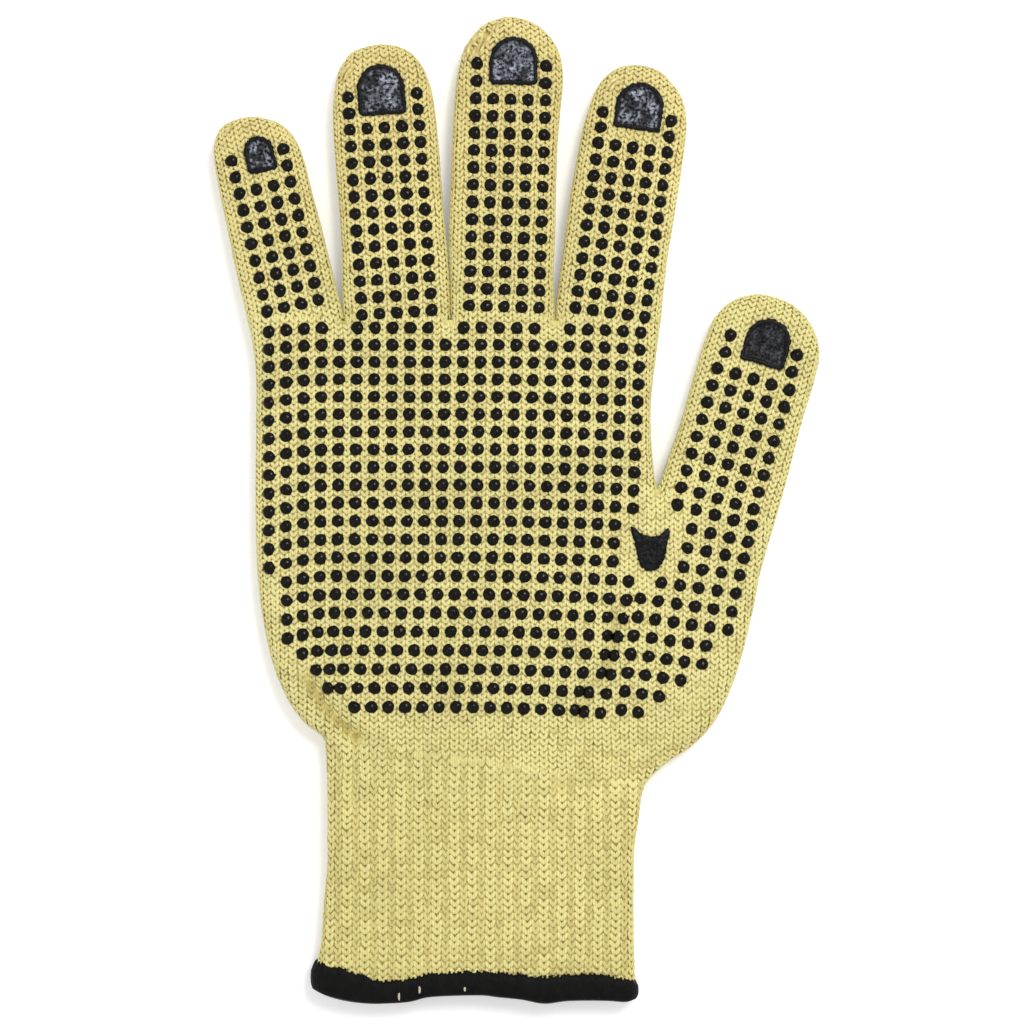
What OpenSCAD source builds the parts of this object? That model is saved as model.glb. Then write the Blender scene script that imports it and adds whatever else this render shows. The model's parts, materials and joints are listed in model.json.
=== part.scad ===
// Knitted cut resistant glove for the right hand, laid flat with the dotted palm side up.
// X runs from the little finger to the thumb, Y from the hem to the fingertips, Z up out of the palm.
// The origin is on the resting plane, under the middle of the outline.

/* [Cloth] */
// Thickness of the glove laid flat, back to palm
glove_thickness = 10; // [8.6:0.2:14]
// Thickness of the knitted wall
knit_wall = 1.5; // [1:0.1:1.8]
// How far the rolled side edges run in from the outline
edge_round = 1.8; // [1:0.1:2.4]
// Clear slot between two sections that fold against each other
fold_gap = 0.3; // [0.2:0.05:0.6]
// Clear slot between neighbouring fingers at their roots
finger_gap = 0.4; // [0.3:0.05:0.8]

/* [Palm] */
// Height of the knuckle line above the origin
knuckle_y = 48.6; // [40:0.2:56]
// Left end of the knuckle line
knuckle_left_x = -67.9; // [-70:0.1:-66]
// Length of the four finger palm, from the knuckle line to the thumb crotch
upper_palm_length = 43.6; // [38:0.2:54]
// Left edge of the palm at the thumb crotch
palm_left_x = -66.1; // [-68:0.1:-64]
// How far the thumb side edge draws in between knuckles and crotch
palm_waist = 1.8; // [0:0.1:3]
// Thumb side edge of the palm at the crotch
crotch_x = 35.2; // [34:0.1:36.4]
// Length of the five finger palm on the little finger side
lower_palm_left_length = 62.8; // [54:0.2:72]
// Length of the five finger palm on the thumb side, from the crotch to the wrist
lower_palm_right_length = 74.8; // [66:0.2:84]

/* [Fingers] */
// Little finger: length from the knuckle line
little_length = 52; // [48:0.5:64]
// Little finger: width at the root
little_root_width = 24.4; // [22:0.1:27]
// Little finger: width where the tip starts to round
little_tip_width = 22.2; // [20:0.1:24]
// Little finger: lean towards the thumb, in degrees
little_lean = -13.2; // [-16:0.1:-6]
// Ring finger: length from the knuckle line
ring_length = 69.4; // [65:0.5:84]
// Ring finger: width at the root
ring_root_width = 27; // [26:0.1:30]
// Ring finger: width where the tip starts to round
ring_tip_width = 25.8; // [25:0.1:28]
// Ring finger: lean towards the thumb, in degrees
ring_lean = -3.8; // [-6:0.1:-2]
// Middle finger: length from the knuckle line
middle_length = 76.4; // [72:0.2:92]
// Middle finger: width at the root
middle_root_width = 26.8; // [26:0.1:30]
// Middle finger: width where the tip starts to round
middle_tip_width = 26.4; // [25:0.1:28]
// Middle finger: lean towards the thumb, in degrees
middle_lean = 1.8; // [0:0.1:4]
// Index finger: length from the knuckle line
index_length = 64.6; // [60:0.5:78]
// Index finger: width at the root
index_root_width = 26.6; // [26:0.1:30]
// Index finger: width where the tip starts to round
index_tip_width = 26; // [25:0.1:28]
// Index finger: lean towards the thumb, in degrees
index_lean = 7.8; // [5:0.1:10]
// Length of the rounded end of a finger
finger_tip_round = 14.5; // [12:0.1:16]
// Length of the rounded end of the little finger
little_tip_round = 10.8; // [9:0.1:12]

/* [Thumb] */
// Length of the thumb from its root line
thumb_length = 55.2; // [51:0.5:66]
// Width of the thumb at its root
thumb_root_width = 30.4; // [29:0.1:37]
// Width of the thumb where the tip starts to round
thumb_tip_width = 29.4; // [28:0.1:32]
// Lean of the thumb away from the fingers, in degrees
thumb_lean = 16.8; // [12:0.1:20]
// Length of the rounded end of the thumb
thumb_tip_round = 16.5; // [13:0.1:18]

/* [Cuff] */
// Width of the cuff
cuff_width = 77.8; // [70:0.2:94]
// Middle of the cuff, left or right of the origin
cuff_x = -9; // [-10:0.1:-8]
// Height of the hem's lower edge
hem_y = -125; // [-140:0.5:-118]
// Width of the wrist, where the cuff meets the palm
wrist_width = 81.3; // [72:0.1:96]
// Left end of the wrist line
wrist_left_x = -48.6; // [-52:0.1:-46]
// How far each side flares out at the hem
hem_flare = 2; // [0:0.1:4]
// Height of the overlocked hem
hem_height = 9; // [6:0.2:11]
// Thickness of the hem's thread on the cloth
hem_thread = 0.5; // [0.4:0.05:0.7]
// Clearance between the hem's thread and the cloth that it wraps
hem_clearance = 0.05; // [0.02:0.01:0.1]
// Courses of elastic yarn laid into the cuff
elastic_courses = 12; // [6:1:16]
// Thickness of the elastic yarn
elastic_thickness = 0.5; // [0.4:0.05:0.7]

/* [Grip dots] */
// Diameter of a grip dot
dot_diameter = 3.2; // [2.6:0.1:3.3]
// Height of a grip dot
dot_height = 0.8; // [0.5:0.05:1]
// Columns of dots across a finger
finger_columns = 5; // [3:1:5]
// Columns of dots across the little finger
little_columns = 4; // [3:1:4]
// Spacing of the columns on the fingers
finger_column_pitch = 4.4; // [4:0.05:4.5]
// Spacing of the columns on the thumb
thumb_column_pitch = 4.75; // [4.2:0.05:4.9]
// Distance from the last full row of dots on a finger to its pad
pad_row_gap = 3.5; // [3:0.1:4]
// Columns of dots across the palm
palm_columns = 22; // [18:1:22]
// Spacing of the columns on the palm
palm_column_pitch = 4.47; // [4.2:0.01:4.5]
// Spacing of the rows on the palm
palm_row_pitch = 4.55; // [4.2:0.05:4.9]
// Spacing of the rows on the thumb root
root_row_pitch = 4.6; // [4.2:0.05:4.8]

/* [Pads and patch] */
// Width of a fingertip pad
pad_width = 12.4; // [11:0.1:13]
// Length of a fingertip pad
pad_length = 12.8; // [11.5:0.1:13.5]
// Width of the little finger's pad
little_pad_width = 8.4; // [7.5:0.1:9]
// Length of the little finger's pad
little_pad_length = 9.8; // [8.5:0.1:10.5]
// Thickness of a pad inside its rim
pad_thickness = 0.7; // [0.5:0.05:1]
// Height of a pad's rim
pad_rim_height = 1; // [0.8:0.05:1.2]
// Width of a pad's rim
pad_rim_width = 0.7; // [0.5:0.05:1]
// Corner radius at the straight end of a pad
pad_corner = 1.2; // [0.6:0.1:1.6]
// Distance from a pad to the end of its finger
pad_inset = 5.2; // [4.6:0.1:6]
// Width of the patch below the thumb crotch, across its horns
patch_width = 10.2; // [8.6:0.1:12]
// Height of the patch from its round end to its horns
patch_height = 11.2; // [9:0.1:13]
// Radius of the patch's round end
patch_end_radius = 3.9; // [3:0.1:4.2]
// Depth of the hollow between the horns
patch_hollow = 2.7; // [2:0.1:3.4]
// Width of a horn at its end
patch_horn = 1.4; // [1:0.1:2]
// Thickness of the patch
patch_thickness = 0.8; // [0.5:0.05:1]
// Drop from the thumb crotch to the middle of the patch
patch_drop = 15.2; // [13:0.1:17]

/* [Hidden] */

yarn_colour = [0.87, 0.74, 0.38];
dot_colour = [0.09, 0.10, 0.13];
pad_colour = [0.20, 0.23, 0.29];
hem_colour = [0.06, 0.06, 0.07];
elastic_colour = [0.92, 0.88, 0.76];

top_z = glove_thickness;
dot_radius = dot_diameter / 2;
crotch_y = knuckle_y - upper_palm_length;
knuckle_right_x = knuckle_left_x + little_root_width + ring_root_width + middle_root_width + index_root_width;

// Angles round a rolled side edge, from the back of the glove to the palm
edge_angles = [-90, -60, -30, 0, 30, 60, 90];
// The inside of the wall rolls more tightly than the outside, and the elastic inside it more tightly still
inner_round = 0.6 * edge_round;
elastic_round = 0.5 * edge_round;
// Arcs that round a fingertip
tip_arcs = 12;
// Lengthwise stations of a palm or cuff tube
long_stations = 8;
// Least distance between a dot and the rolled edge
dot_margin = 0.1;
// Distance from a pad's side to the dots beside it
pad_side_gap = 0.9;
// Radius of the sphere that a dot is the cap of
dot_sphere = (dot_radius * dot_radius + dot_height * dot_height) / (2 * dot_height);

// A finger is [root x, root width, tip width, length, lean, tip round, columns, column pitch, counts,
// pad width, pad length], where counts are the full dot rows on its base, middle and tip sections.
little = [knuckle_left_x + little_root_width / 2, little_root_width, little_tip_width, little_length,
          little_lean, little_tip_round, little_columns, finger_column_pitch, [4, 3, 1],
          little_pad_width, little_pad_length];
ring = [little[0] + (little_root_width + ring_root_width) / 2, ring_root_width, ring_tip_width, ring_length,
        ring_lean, finger_tip_round, finger_columns, finger_column_pitch, [6, 5, 1], pad_width, pad_length];
middle = [ring[0] + (ring_root_width + middle_root_width) / 2, middle_root_width, middle_tip_width,
          middle_length, middle_lean, finger_tip_round, finger_columns, finger_column_pitch, [6, 6, 1],
          pad_width, pad_length];
index = [middle[0] + (middle_root_width + index_root_width) / 2, index_root_width, index_tip_width,
         index_length, index_lean, finger_tip_round, finger_columns, finger_column_pitch, [5, 5, 1],
         pad_width, pad_length];
thumb = [0, thumb_root_width, thumb_tip_width, thumb_length, 0, thumb_tip_round,
         finger_columns, thumb_column_pitch, [5, 0, 3], pad_width, pad_length];

thumb_root = [crotch_x + finger_gap + thumb_root_width / 2 * cos(thumb_lean),
              crotch_y - thumb_root_width / 2 * sin(thumb_lean)];
thumb_root_right = [crotch_x + finger_gap + thumb_root_width * cos(thumb_lean),
                    crotch_y - thumb_root_width * sin(thumb_lean)];
wrist_left = [wrist_left_x, crotch_y - lower_palm_left_length];
wrist_right = [wrist_left_x + wrist_width, crotch_y - lower_palm_right_length];

function lerp(a, b, t) = a + (b - a) * t;
function flatten(lists) = [for (list = lists) for (item = list) item];
function along(a, b) = (b - a) / norm(b - a);

// One closed ring of a tube between its left and right edge points, drawn in by inset on every side.
// A middle point, where a tube's mouth bends, is given in the same list: [left, right, middle].
function ring_points(station, inset, round) =
    let (left = station[0], right = station[1], mid = station[2])
    let (to_mid_left = is_undef(mid) ? along(left, right) : along(left, mid))
    let (to_mid_right = is_undef(mid) ? along(right, left) : along(right, mid))
    let (half = top_z / 2, rise = half - inset)
    let (bend = is_undef(mid) ? (left + right) / 2 : mid)
    concat(
        [for (a = edge_angles) let (p = right + to_mid_right * (inset + round * (1 - cos(a))))
            [p.x, p.y, half + rise * sin(a)]],
        [[bend.x, bend.y, half + rise]],
        [for (a = -edge_angles) let (p = left + to_mid_left * (inset + round * (1 - cos(a))))
            [p.x, p.y, half + rise * sin(a)]],
        [[bend.x, bend.y, half - rise]]
    );

// A closed band of triangles between rings a and b of the point list, each with n points
function band(a, b, n) = flatten([for (i = [0 : n - 1]) let (j = (i + 1) % n)
    [[a * n + i, a * n + j, b * n + j], [a * n + i, b * n + j, b * n + i]]]);

// A tube open at both ends through outer rings and inner rings, given from the hem towards the fingertips
module tube_through(outer, inner) {
    n = len(outer[0]);
    last = len(outer) - 1;
    first_inner = last + 1;
    outer_faces = flatten([for (s = [0 : last - 1]) band(s, s + 1, n)]);
    inner_faces = flatten([for (s = [0 : last - 1]) band(first_inner + s + 1, first_inner + s, n)]);
    start_faces = band(first_inner, 0, n);
    end_faces = band(last, first_inner + last, n);
    polyhedron(flatten(concat(outer, inner)), concat(outer_faces, inner_faces, start_faces, end_faces));
}

// A knitted tube through a list of stations
module knit_tube(stations) {
    tube_through(
        [for (s = stations) ring_points(s, 0, edge_round)],
        [for (s = stations) ring_points(s, knit_wall, inner_round)]
    );
}

// Finger geometry, in the finger's own frame: u across and v along, from the middle of its root line

function finger_root_v(f, u) = u * sin(f[4]) / cos(f[4]);
function finger_half_width(f, v) = lerp(f[1] * cos(f[4]) - finger_gap, f[2], v / (f[3] - f[5])) / 2;
// The first dot row clears the root line across all its columns
function finger_first_row(f) =
    dot_radius + 2 * fold_gap + (f[6] - 1) / 2 * f[7] * abs(sin(f[4])) + dot_margin;
// The full rows fill the finger from there up to the pad
function pad_start(f) = f[3] - pad_inset - f[10];
function full_row_count(f) = f[8][0] + f[8][1] + f[8][2];
function row_pitch(f) = (pad_start(f) - pad_row_gap - finger_first_row(f)) / (full_row_count(f) - 1);
function finger_row(f, k) = finger_first_row(f) + k * row_pitch(f);
// A fold line runs midway between two dot rows
function finger_fold(f, rows) = finger_row(f, rows) - row_pitch(f) / 2;
function middle_fold(f) = finger_fold(f, f[8][0]);
function tip_fold(f) = finger_fold(f, f[8][0] + f[8][1]);

function finger_station(f, v) = let (w = finger_half_width(f, v)) [[-w, v], [w, v]];
function root_station(f) = let (w = finger_half_width(f, 0))
    [[-w, finger_root_v(f, -w) + fold_gap], [w, finger_root_v(f, w) + fold_gap]];

// The plan outline of a fingertip from its left start, round the end and back, drawn in by inset
function tip_outline(f, v0, inset) =
    let (v1 = f[3] - f[5], w0 = finger_half_width(f, v0), w1 = f[2] / 2)
    concat(
        [[-w0 + inset, v0]],
        [for (i = [0 : tip_arcs]) let (a = 180 - 180 * i / tip_arcs)
            [(w1 - inset) * cos(a), v1 + (f[5] - inset) * sin(a)]],
        [[w0 - inset, v0]]
    );

function tip_layers(f, v0, inset, round) = [for (a = edge_angles)
    [for (p = tip_outline(f, v0, inset + round * (1 - cos(a))))
        [p.x, p.y, top_z / 2 + (top_z / 2 - inset) * sin(a)]]];

// A strip of triangles between layers a and b of the point list, each with n points, left open at its ends
function strip(a, b, n) = flatten([for (i = [0 : n - 2])
    [[a * n + i, a * n + i + 1, b * n + i + 1], [a * n + i, b * n + i + 1, b * n + i]]]);
function quad(a, b, c, d) = [[a, b, c], [a, c, d]];

// A fingertip: a pocket that is closed round its end and open at its start
module finger_end(f, v0) {
    outer = tip_layers(f, v0, 0, edge_round);
    inner = tip_layers(f, v0, knit_wall, inner_round);
    n = len(outer[0]);
    top = len(edge_angles) - 1;
    in0 = top + 1;
    outer_faces = flatten([for (k = [0 : top - 1]) strip(k, k + 1, n)]);
    inner_faces = flatten([for (k = [0 : top - 1]) strip(in0 + k + 1, in0 + k, n)]);
    caps = [
        [for (i = [0 : n - 1]) top * n + i],
        [for (i = [n - 1 : -1 : 0]) i],
        [for (i = [n - 1 : -1 : 0]) (in0 + top) * n + i],
        [for (i = [0 : n - 1]) in0 * n + i]
    ];
    mouth_right = flatten([for (k = [0 : top - 1])
        quad(k * n + n - 1, (in0 + k) * n + n - 1, (in0 + k + 1) * n + n - 1, (k + 1) * n + n - 1)]);
    mouth_left = flatten([for (k = [0 : top - 1])
        quad((k + 1) * n, (in0 + k + 1) * n, (in0 + k) * n, k * n)]);
    mouth_top = quad(top * n + n - 1, (in0 + top) * n + n - 1, (in0 + top) * n, top * n);
    mouth_bottom = quad(0, in0 * n, in0 * n + n - 1, n - 1);
    polyhedron(
        flatten(concat(outer, inner)),
        concat(outer_faces, inner_faces, caps, mouth_right, mouth_left, mouth_top, mouth_bottom)
    );
}

module on_finger(f) {
    translate([f[0], knuckle_y, 0])
        rotate(-f[4])
            children();
}

module on_thumb() {
    translate([thumb_root.x, thumb_root.y, 0])
        rotate(-thumb_lean)
            children();
}

module knit_base(f) {
    color(yarn_colour)
        knit_tube([root_station(f), finger_station(f, middle_fold(f) - fold_gap / 2)]);
}

module knit_middle(f) {
    color(yarn_colour)
        knit_tube([
            finger_station(f, middle_fold(f) + fold_gap / 2),
            finger_station(f, tip_fold(f) - fold_gap / 2)
        ]);
}

module knit_tip(f) {
    color(yarn_colour)
        finger_end(f, tip_fold(f) + fold_gap / 2);
}

// Palm edges. The upper palm runs from the crotch at 0 to the knuckles at 1, the lower palm from
// the crotch at 0 to the wrist at 1.

// How late each edge bends on its way, as the power of the share
knuckle_bend = 2.5;
heel_edge_bend = 4;
ball_edge_bend = 6;
// Share of the ball of the thumb's slope that runs straight
ball_straight = 0.45;
// Below 1, the lower palm's stations crowd towards the wrist, where it bends most
station_crowding = 0.8;

function upper_left(t) = [lerp(palm_left_x, knuckle_left_x, pow(t, knuckle_bend)),
                          lerp(crotch_y, knuckle_y, t)];
function upper_right(t) = [lerp(crotch_x, knuckle_right_x, t) - 4 * palm_waist * t * (1 - t),
                           lerp(crotch_y, knuckle_y, t)];
function lower_left(t) = [lerp(palm_left_x, wrist_left.x, pow(t, heel_edge_bend)),
                          lerp(crotch_y, wrist_left.y, t)];
function ball_slope(t) = ball_straight * t + (1 - ball_straight) * pow(t, ball_edge_bend);
function lower_right(t) = [lerp(thumb_root_right.x, wrist_right.x, ball_slope(t)),
                           lerp(thumb_root_right.y, wrist_right.y, t)];

module upper_palm() {
    color(yarn_colour)
        knit_tube([for (i = [0 : long_stations]) let (t = i / long_stations)
            [upper_left(t), upper_right(t)]]);
}

module lower_palm() {
    mouth = [lower_left(0), lower_right(0), [crotch_x + finger_gap, crotch_y]];
    body = [for (i = [long_stations : -1 : 1]) let (t = pow(i / long_stations, station_crowding))
        [lower_left(t), lower_right(t)]];
    color(yarn_colour)
        knit_tube(concat(body, [mouth]));
}

// The cuff runs from the hem at 0 to the wrist at 1

hem_top_y = hem_y + hem_height;
cloth_end_y = hem_y + hem_thread + hem_clearance;
wrist_drop = fold_gap * norm(wrist_right - wrist_left) / wrist_width;
cuff_left_top = wrist_left - [0, wrist_drop];
cuff_right_top = wrist_right - [0, wrist_drop];
// The cloth is drawn in under the hem by the thread that wraps it
hem_draw = hem_thread + hem_clearance;
// How close to the wrist the cuff widens, and how close to the hem it flares, as powers of the share
wrist_bend = 6;
flare_bend = 8;

function cuff_left(t) = [
    lerp(cuff_x - cuff_width / 2, cuff_left_top.x, pow(t, wrist_bend))
        - hem_flare * pow(1 - t, flare_bend),
    lerp(hem_top_y, cuff_left_top.y, t)];
function cuff_right(t) = [
    lerp(cuff_x + cuff_width / 2, cuff_right_top.x, pow(t, wrist_bend))
        + hem_flare * pow(1 - t, flare_bend),
    lerp(hem_top_y, cuff_right_top.y, t)];
function cuff_station(t) = [cuff_left(t), cuff_right(t)];
function hem_station(y) = let (s = cuff_station(0)) [[s[0].x, y], [s[1].x, y]];

module cuff_tube() {
    necked = [hem_station(cloth_end_y), hem_station(hem_top_y)];
    // The draw eases out over a short run above the hem
    eased = hem_station(hem_top_y + 2 * hem_draw);
    body = [for (i = [1 : long_stations]) cuff_station(i / long_stations)];
    color(yarn_colour)
        tube_through(
            concat(
                [for (s = necked) ring_points(s, hem_draw, edge_round)],
                [for (s = concat([eased], body)) ring_points(s, 0, edge_round)]),
            concat(
                [for (s = necked) ring_points(s, hem_draw + knit_wall, inner_round)],
                [for (s = concat([eased], body)) ring_points(s, knit_wall, inner_round)]));
}

// Elastic yarn on the inside of the cuff, one closed course after another
module cuff_elastic() {
    skin = knit_wall + hem_clearance;
    color(elastic_colour)
        for (i = [1 : elastic_courses]) {
            t = i / (elastic_courses + 1);
            lower = cuff_station(t);
            upper = [lower[0] + [0, elastic_thickness], lower[1] + [0, elastic_thickness]];
            tube_through(
                [for (s = [lower, upper]) ring_points(s, skin, inner_round)],
                [for (s = [lower, upper]) ring_points(s, skin + elastic_thickness, elastic_round)]);
        }
}

// The hem's thread wraps the end of the cloth: a closed channel round the whole mouth
module hem_overlock() {
    lip = hem_draw + knit_wall + hem_clearance;
    rings = [
        ring_points(hem_station(hem_y), 0, edge_round),
        ring_points(hem_station(hem_top_y), 0, edge_round),
        ring_points(hem_station(hem_top_y), hem_thread, edge_round),
        ring_points(hem_station(cloth_end_y), hem_thread, edge_round),
        ring_points(hem_station(cloth_end_y), lip, inner_round),
        ring_points(hem_station(hem_top_y), lip, inner_round),
        ring_points(hem_station(hem_top_y), lip + hem_thread, inner_round),
        ring_points(hem_station(hem_y), lip + hem_thread, inner_round)
    ];
    n = len(rings[0]);
    last = len(rings) - 1;
    color(hem_colour)
        polyhedron(flatten(rings), flatten([for (i = [0 : last]) band(i, (i + 1) % (last + 1), n)]));
}

// Grip dots

module dot() {
    difference() {
        translate([0, 0, dot_height - dot_sphere])
            sphere(dot_sphere);
        translate([0, 0, -dot_sphere])
            cube(2 * dot_sphere, center = true);
    }
}

module dots_at(places) {
    color(dot_colour)
        for (p = places)
            translate([p.x, p.y, top_z])
                dot();
}

function column_u(f, i) = (i - (f[6] - 1) / 2) * f[7];
function full_rows(f, first, count) = count == 0 ? [] : [for (k = [first : first + count - 1])
    for (i = [0 : f[6] - 1]) [column_u(f, i), finger_row(f, k)]];
// Beside the pad, only one dot fits on each side of a row
function flank_rows(f) = [for (k = [0, 1]) for (side = [-1, 1])
    [side * (f[9] / 2 + dot_radius + pad_side_gap), finger_row(f, full_row_count(f) + k)]];

module base_dots(f) {
    dots_at(full_rows(f, 0, f[8][0]));
}

module middle_dots(f) {
    dots_at(full_rows(f, f[8][0], f[8][1]));
}

module tip_dots(f) {
    dots_at(concat(full_rows(f, f[8][0] + f[8][1], f[8][2]), flank_rows(f)));
}

// Palm dots follow the knit: columns lean in towards the wrist, rows sag at both edges

// First column and row, from the left edge and the knuckle line
edge_keep = edge_round + dot_radius + dot_margin;
palm_column_x = palm_left_x + edge_keep + 2 * dot_margin;
palm_row_y = knuckle_y - dot_radius - 2 * fold_gap;
palm_rows = 22;
// Columns that run into a finger crotch, and have no dot on the first row
crotch_columns = [4, 10, 16];
// Sag of the rows: how much, and from which column outwards, on the little finger side and the thumb side
left_sag = 0.07;
left_sag_column = 4;
right_sag = 0.022;
right_sag_column = 12;
// Rows in which the sag on the little finger side doubles
sag_growth = 10;
// Lean of the columns, and the bend of the left columns round the heel of the hand
column_lean = 0.0095;
heel_bend = 0.065;
heel_row = 11;
// Drift of all columns towards the little finger side, below that row
wrist_drift = 0.04;
heel_columns = 5;

function palm_place(i, j) =
    let (from_left = max(0, left_sag_column - i), from_right = max(0, i - right_sag_column))
    let (past_heel = max(0, j - heel_row))
    [palm_column_x + i * palm_column_pitch - column_lean * i * j
        + (heel_bend * max(0, 1 - i / heel_columns) - wrist_drift) * past_heel * past_heel,
     palm_row_y - j * palm_row_pitch
        - left_sag * from_left * from_left * (1 + j / sag_growth) - right_sag * from_right * from_right];

// The height of the wrist line at x
function wrist_y(x) = lerp(wrist_left.y, wrist_right.y, (x - wrist_left.x) / wrist_width);
// How far down the lower palm's left or right edge a height lies
function left_share(y) = (crotch_y - y) / lower_palm_left_length;
function right_share(y) = (thumb_root_right.y - y) / (thumb_root_right.y - wrist_right.y);

// The dotted field leaves the heel of the hand bare: it draws in from each edge below these shares
heel_share = 0.56;
heel_draw = 35;
ball_share = 0.41;
ball_draw = 55;
// Bare strip above the wrist line
wrist_bare = 1.5 * dot_diameter;

function in_lower_palm(p) =
    let (tl = left_share(p.y), tr = right_share(p.y))
    let (left = lower_left(min(1, max(0, tl))).x + heel_draw * max(0, tl - heel_share))
    let (right = lower_right(min(1, max(0, tr))).x - ball_draw * max(0, tr - ball_share))
    p.y > wrist_y(p.x) + wrist_bare && p.x - edge_keep > left && p.x + edge_keep < right;

// The patch sits a little to the finger side of the crotch
patch_shift = 1.4;
patch_centre = [crotch_x - patch_shift, crotch_y - patch_drop];
patch_margin = 0.3;
function clear_of_patch(p) =
    norm([max(0, abs(p.x - patch_centre.x) - patch_width / 2),
          max(0, abs(p.y - patch_centre.y) - patch_height / 2)]) > dot_radius + patch_margin;

palm_places = [for (j = [0 : palm_rows - 1]) for (i = [0 : palm_columns - 1])
    if (j > 0 || len(search(i, crotch_columns)) == 0) palm_place(i, j)];

// The thumb root has its own rows: they start along the thumb's root line and turn level lower down.
// Its first column runs down from the crotch, and starts below the patch.
root_rows = 12;
root_turn = 2.4;
root_least_turn = 9.5;
root_fall = 14;
root_straighten = 0.35;
root_narrow = 0.009;
crotch_column_row = 5;
function root_place(i, k) =
    let (u = (i - (finger_columns - 1) / 2) * thumb_column_pitch * (1 - root_narrow * k))
    let (drop = dot_radius + 2 * fold_gap + dot_margin + k * root_row_pitch)
    let (turn = max(root_least_turn, thumb_lean - root_turn * k), fall = root_fall - root_straighten * k)
    thumb_root + [u * cos(turn) - drop * sin(fall), -u * sin(turn) - drop * cos(fall)];
root_places = [for (k = [0 : root_rows - 1])
    for (i = [k < crotch_column_row ? 0 : -1 : finger_columns - 1]) root_place(i, k)];

module upper_palm_dots() {
    dots_at([for (p = palm_places) if (p.y > crotch_y) p]);
}

module lower_palm_dots() {
    places = concat([for (p = palm_places) if (p.y <= crotch_y) p], root_places);
    dots_at([for (p = places) if (in_lower_palm(p) && clear_of_patch(p)) p]);
}

// Fingertip pads: flat ended and arched towards the tip, with a raised rim

module pad_shape(width, length, inset) {
    w = width - 2 * inset;
    corner = pad_corner - inset / 2;
    bottom = -length + inset;
    shoulder = -width / 2;
    translate([0, shoulder])
        circle(w / 2, $fn = 64);
    translate([-w / 2, bottom + corner])
        square([w, shoulder - bottom - corner]);
    translate([-w / 2 + corner, bottom])
        square([w - 2 * corner, shoulder - bottom]);
    for (side = [-1, 1])
        translate([side * (w / 2 - corner), bottom + corner])
            circle(corner, $fn = 32);
}

module fingertip_pad(f) {
    width = f[9];
    length = f[10];
    color(pad_colour)
        translate([0, f[3] - pad_inset, top_z])
            difference() {
                linear_extrude(pad_rim_height)
                    pad_shape(width, length, 0);
                translate([0, 0, pad_thickness])
                    linear_extrude(pad_rim_height)
                        pad_shape(width, length, pad_rim_width);
            }
}

// The patch below the thumb crotch: a round end below, and two horns above that reach round the crotch
module crotch_patch() {
    half = patch_width / 2;
    hollow_half = half - patch_horn;
    hollow_radius = (hollow_half * hollow_half + patch_hollow * patch_hollow) / (2 * patch_hollow);
    color(hem_colour)
        translate([patch_centre.x, patch_centre.y - patch_height / 2, top_z])
            difference() {
                union() {
                    translate([0, patch_end_radius, 0])
                        cylinder(patch_thickness, r = patch_end_radius);
                    linear_extrude(patch_thickness)
                        polygon([
                            [-half, patch_height], [half, patch_height],
                            [patch_end_radius, patch_end_radius], [-patch_end_radius, patch_end_radius]
                        ]);
                }
                translate([0, patch_height - patch_hollow + hollow_radius, -patch_thickness])
                    cylinder(3 * patch_thickness, r = hollow_radius);
            }
}

module little_base() { on_finger(little) knit_base(little); }
module little_middle() { on_finger(little) knit_middle(little); }
module little_tip() { on_finger(little) knit_tip(little); }
module ring_base() { on_finger(ring) knit_base(ring); }
module ring_middle() { on_finger(ring) knit_middle(ring); }
module ring_tip() { on_finger(ring) knit_tip(ring); }
module middle_base() { on_finger(middle) knit_base(middle); }
module middle_middle() { on_finger(middle) knit_middle(middle); }
module middle_tip() { on_finger(middle) knit_tip(middle); }
module index_base() { on_finger(index) knit_base(index); }
module index_middle() { on_finger(index) knit_middle(index); }
module index_tip() { on_finger(index) knit_tip(index); }
module thumb_base() { on_thumb() knit_base(thumb); }
module thumb_tip() { on_thumb() knit_tip(thumb); }

module little_pad() { on_finger(little) fingertip_pad(little); }
module ring_pad() { on_finger(ring) fingertip_pad(ring); }
module middle_pad() { on_finger(middle) fingertip_pad(middle); }
module index_pad() { on_finger(index) fingertip_pad(index); }
module thumb_pad() { on_thumb() fingertip_pad(thumb); }

module little_base_dots() { on_finger(little) base_dots(little); }
module little_middle_dots() { on_finger(little) middle_dots(little); }
module little_tip_dots() { on_finger(little) tip_dots(little); }
module ring_base_dots() { on_finger(ring) base_dots(ring); }
module ring_middle_dots() { on_finger(ring) middle_dots(ring); }
module ring_tip_dots() { on_finger(ring) tip_dots(ring); }
module middle_base_dots() { on_finger(middle) base_dots(middle); }
module middle_middle_dots() { on_finger(middle) middle_dots(middle); }
module middle_tip_dots() { on_finger(middle) tip_dots(middle); }
module index_base_dots() { on_finger(index) base_dots(index); }
module index_middle_dots() { on_finger(index) middle_dots(index); }
module index_tip_dots() { on_finger(index) tip_dots(index); }
module thumb_base_dots() { on_thumb() base_dots(thumb); }
module thumb_tip_dots() { on_thumb() tip_dots(thumb); }

lower_palm();
upper_palm();
little_base();
little_middle();
little_tip();
ring_base();
ring_middle();
ring_tip();
middle_base();
middle_middle();
middle_tip();
index_base();
index_middle();
index_tip();
thumb_base();
thumb_tip();
cuff_tube();
cuff_elastic();
hem_overlock();
little_pad();
ring_pad();
middle_pad();
index_pad();
thumb_pad();
crotch_patch();
lower_palm_dots();
upper_palm_dots();
little_base_dots();
little_middle_dots();
little_tip_dots();
ring_base_dots();
ring_middle_dots();
ring_tip_dots();
middle_base_dots();
middle_middle_dots();
middle_tip_dots();
index_base_dots();
index_middle_dots();
index_tip_dots();
thumb_base_dots();
thumb_tip_dots();
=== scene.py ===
import json
import math

import bmesh
import bpy
import numpy as np
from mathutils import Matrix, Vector, noise

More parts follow.
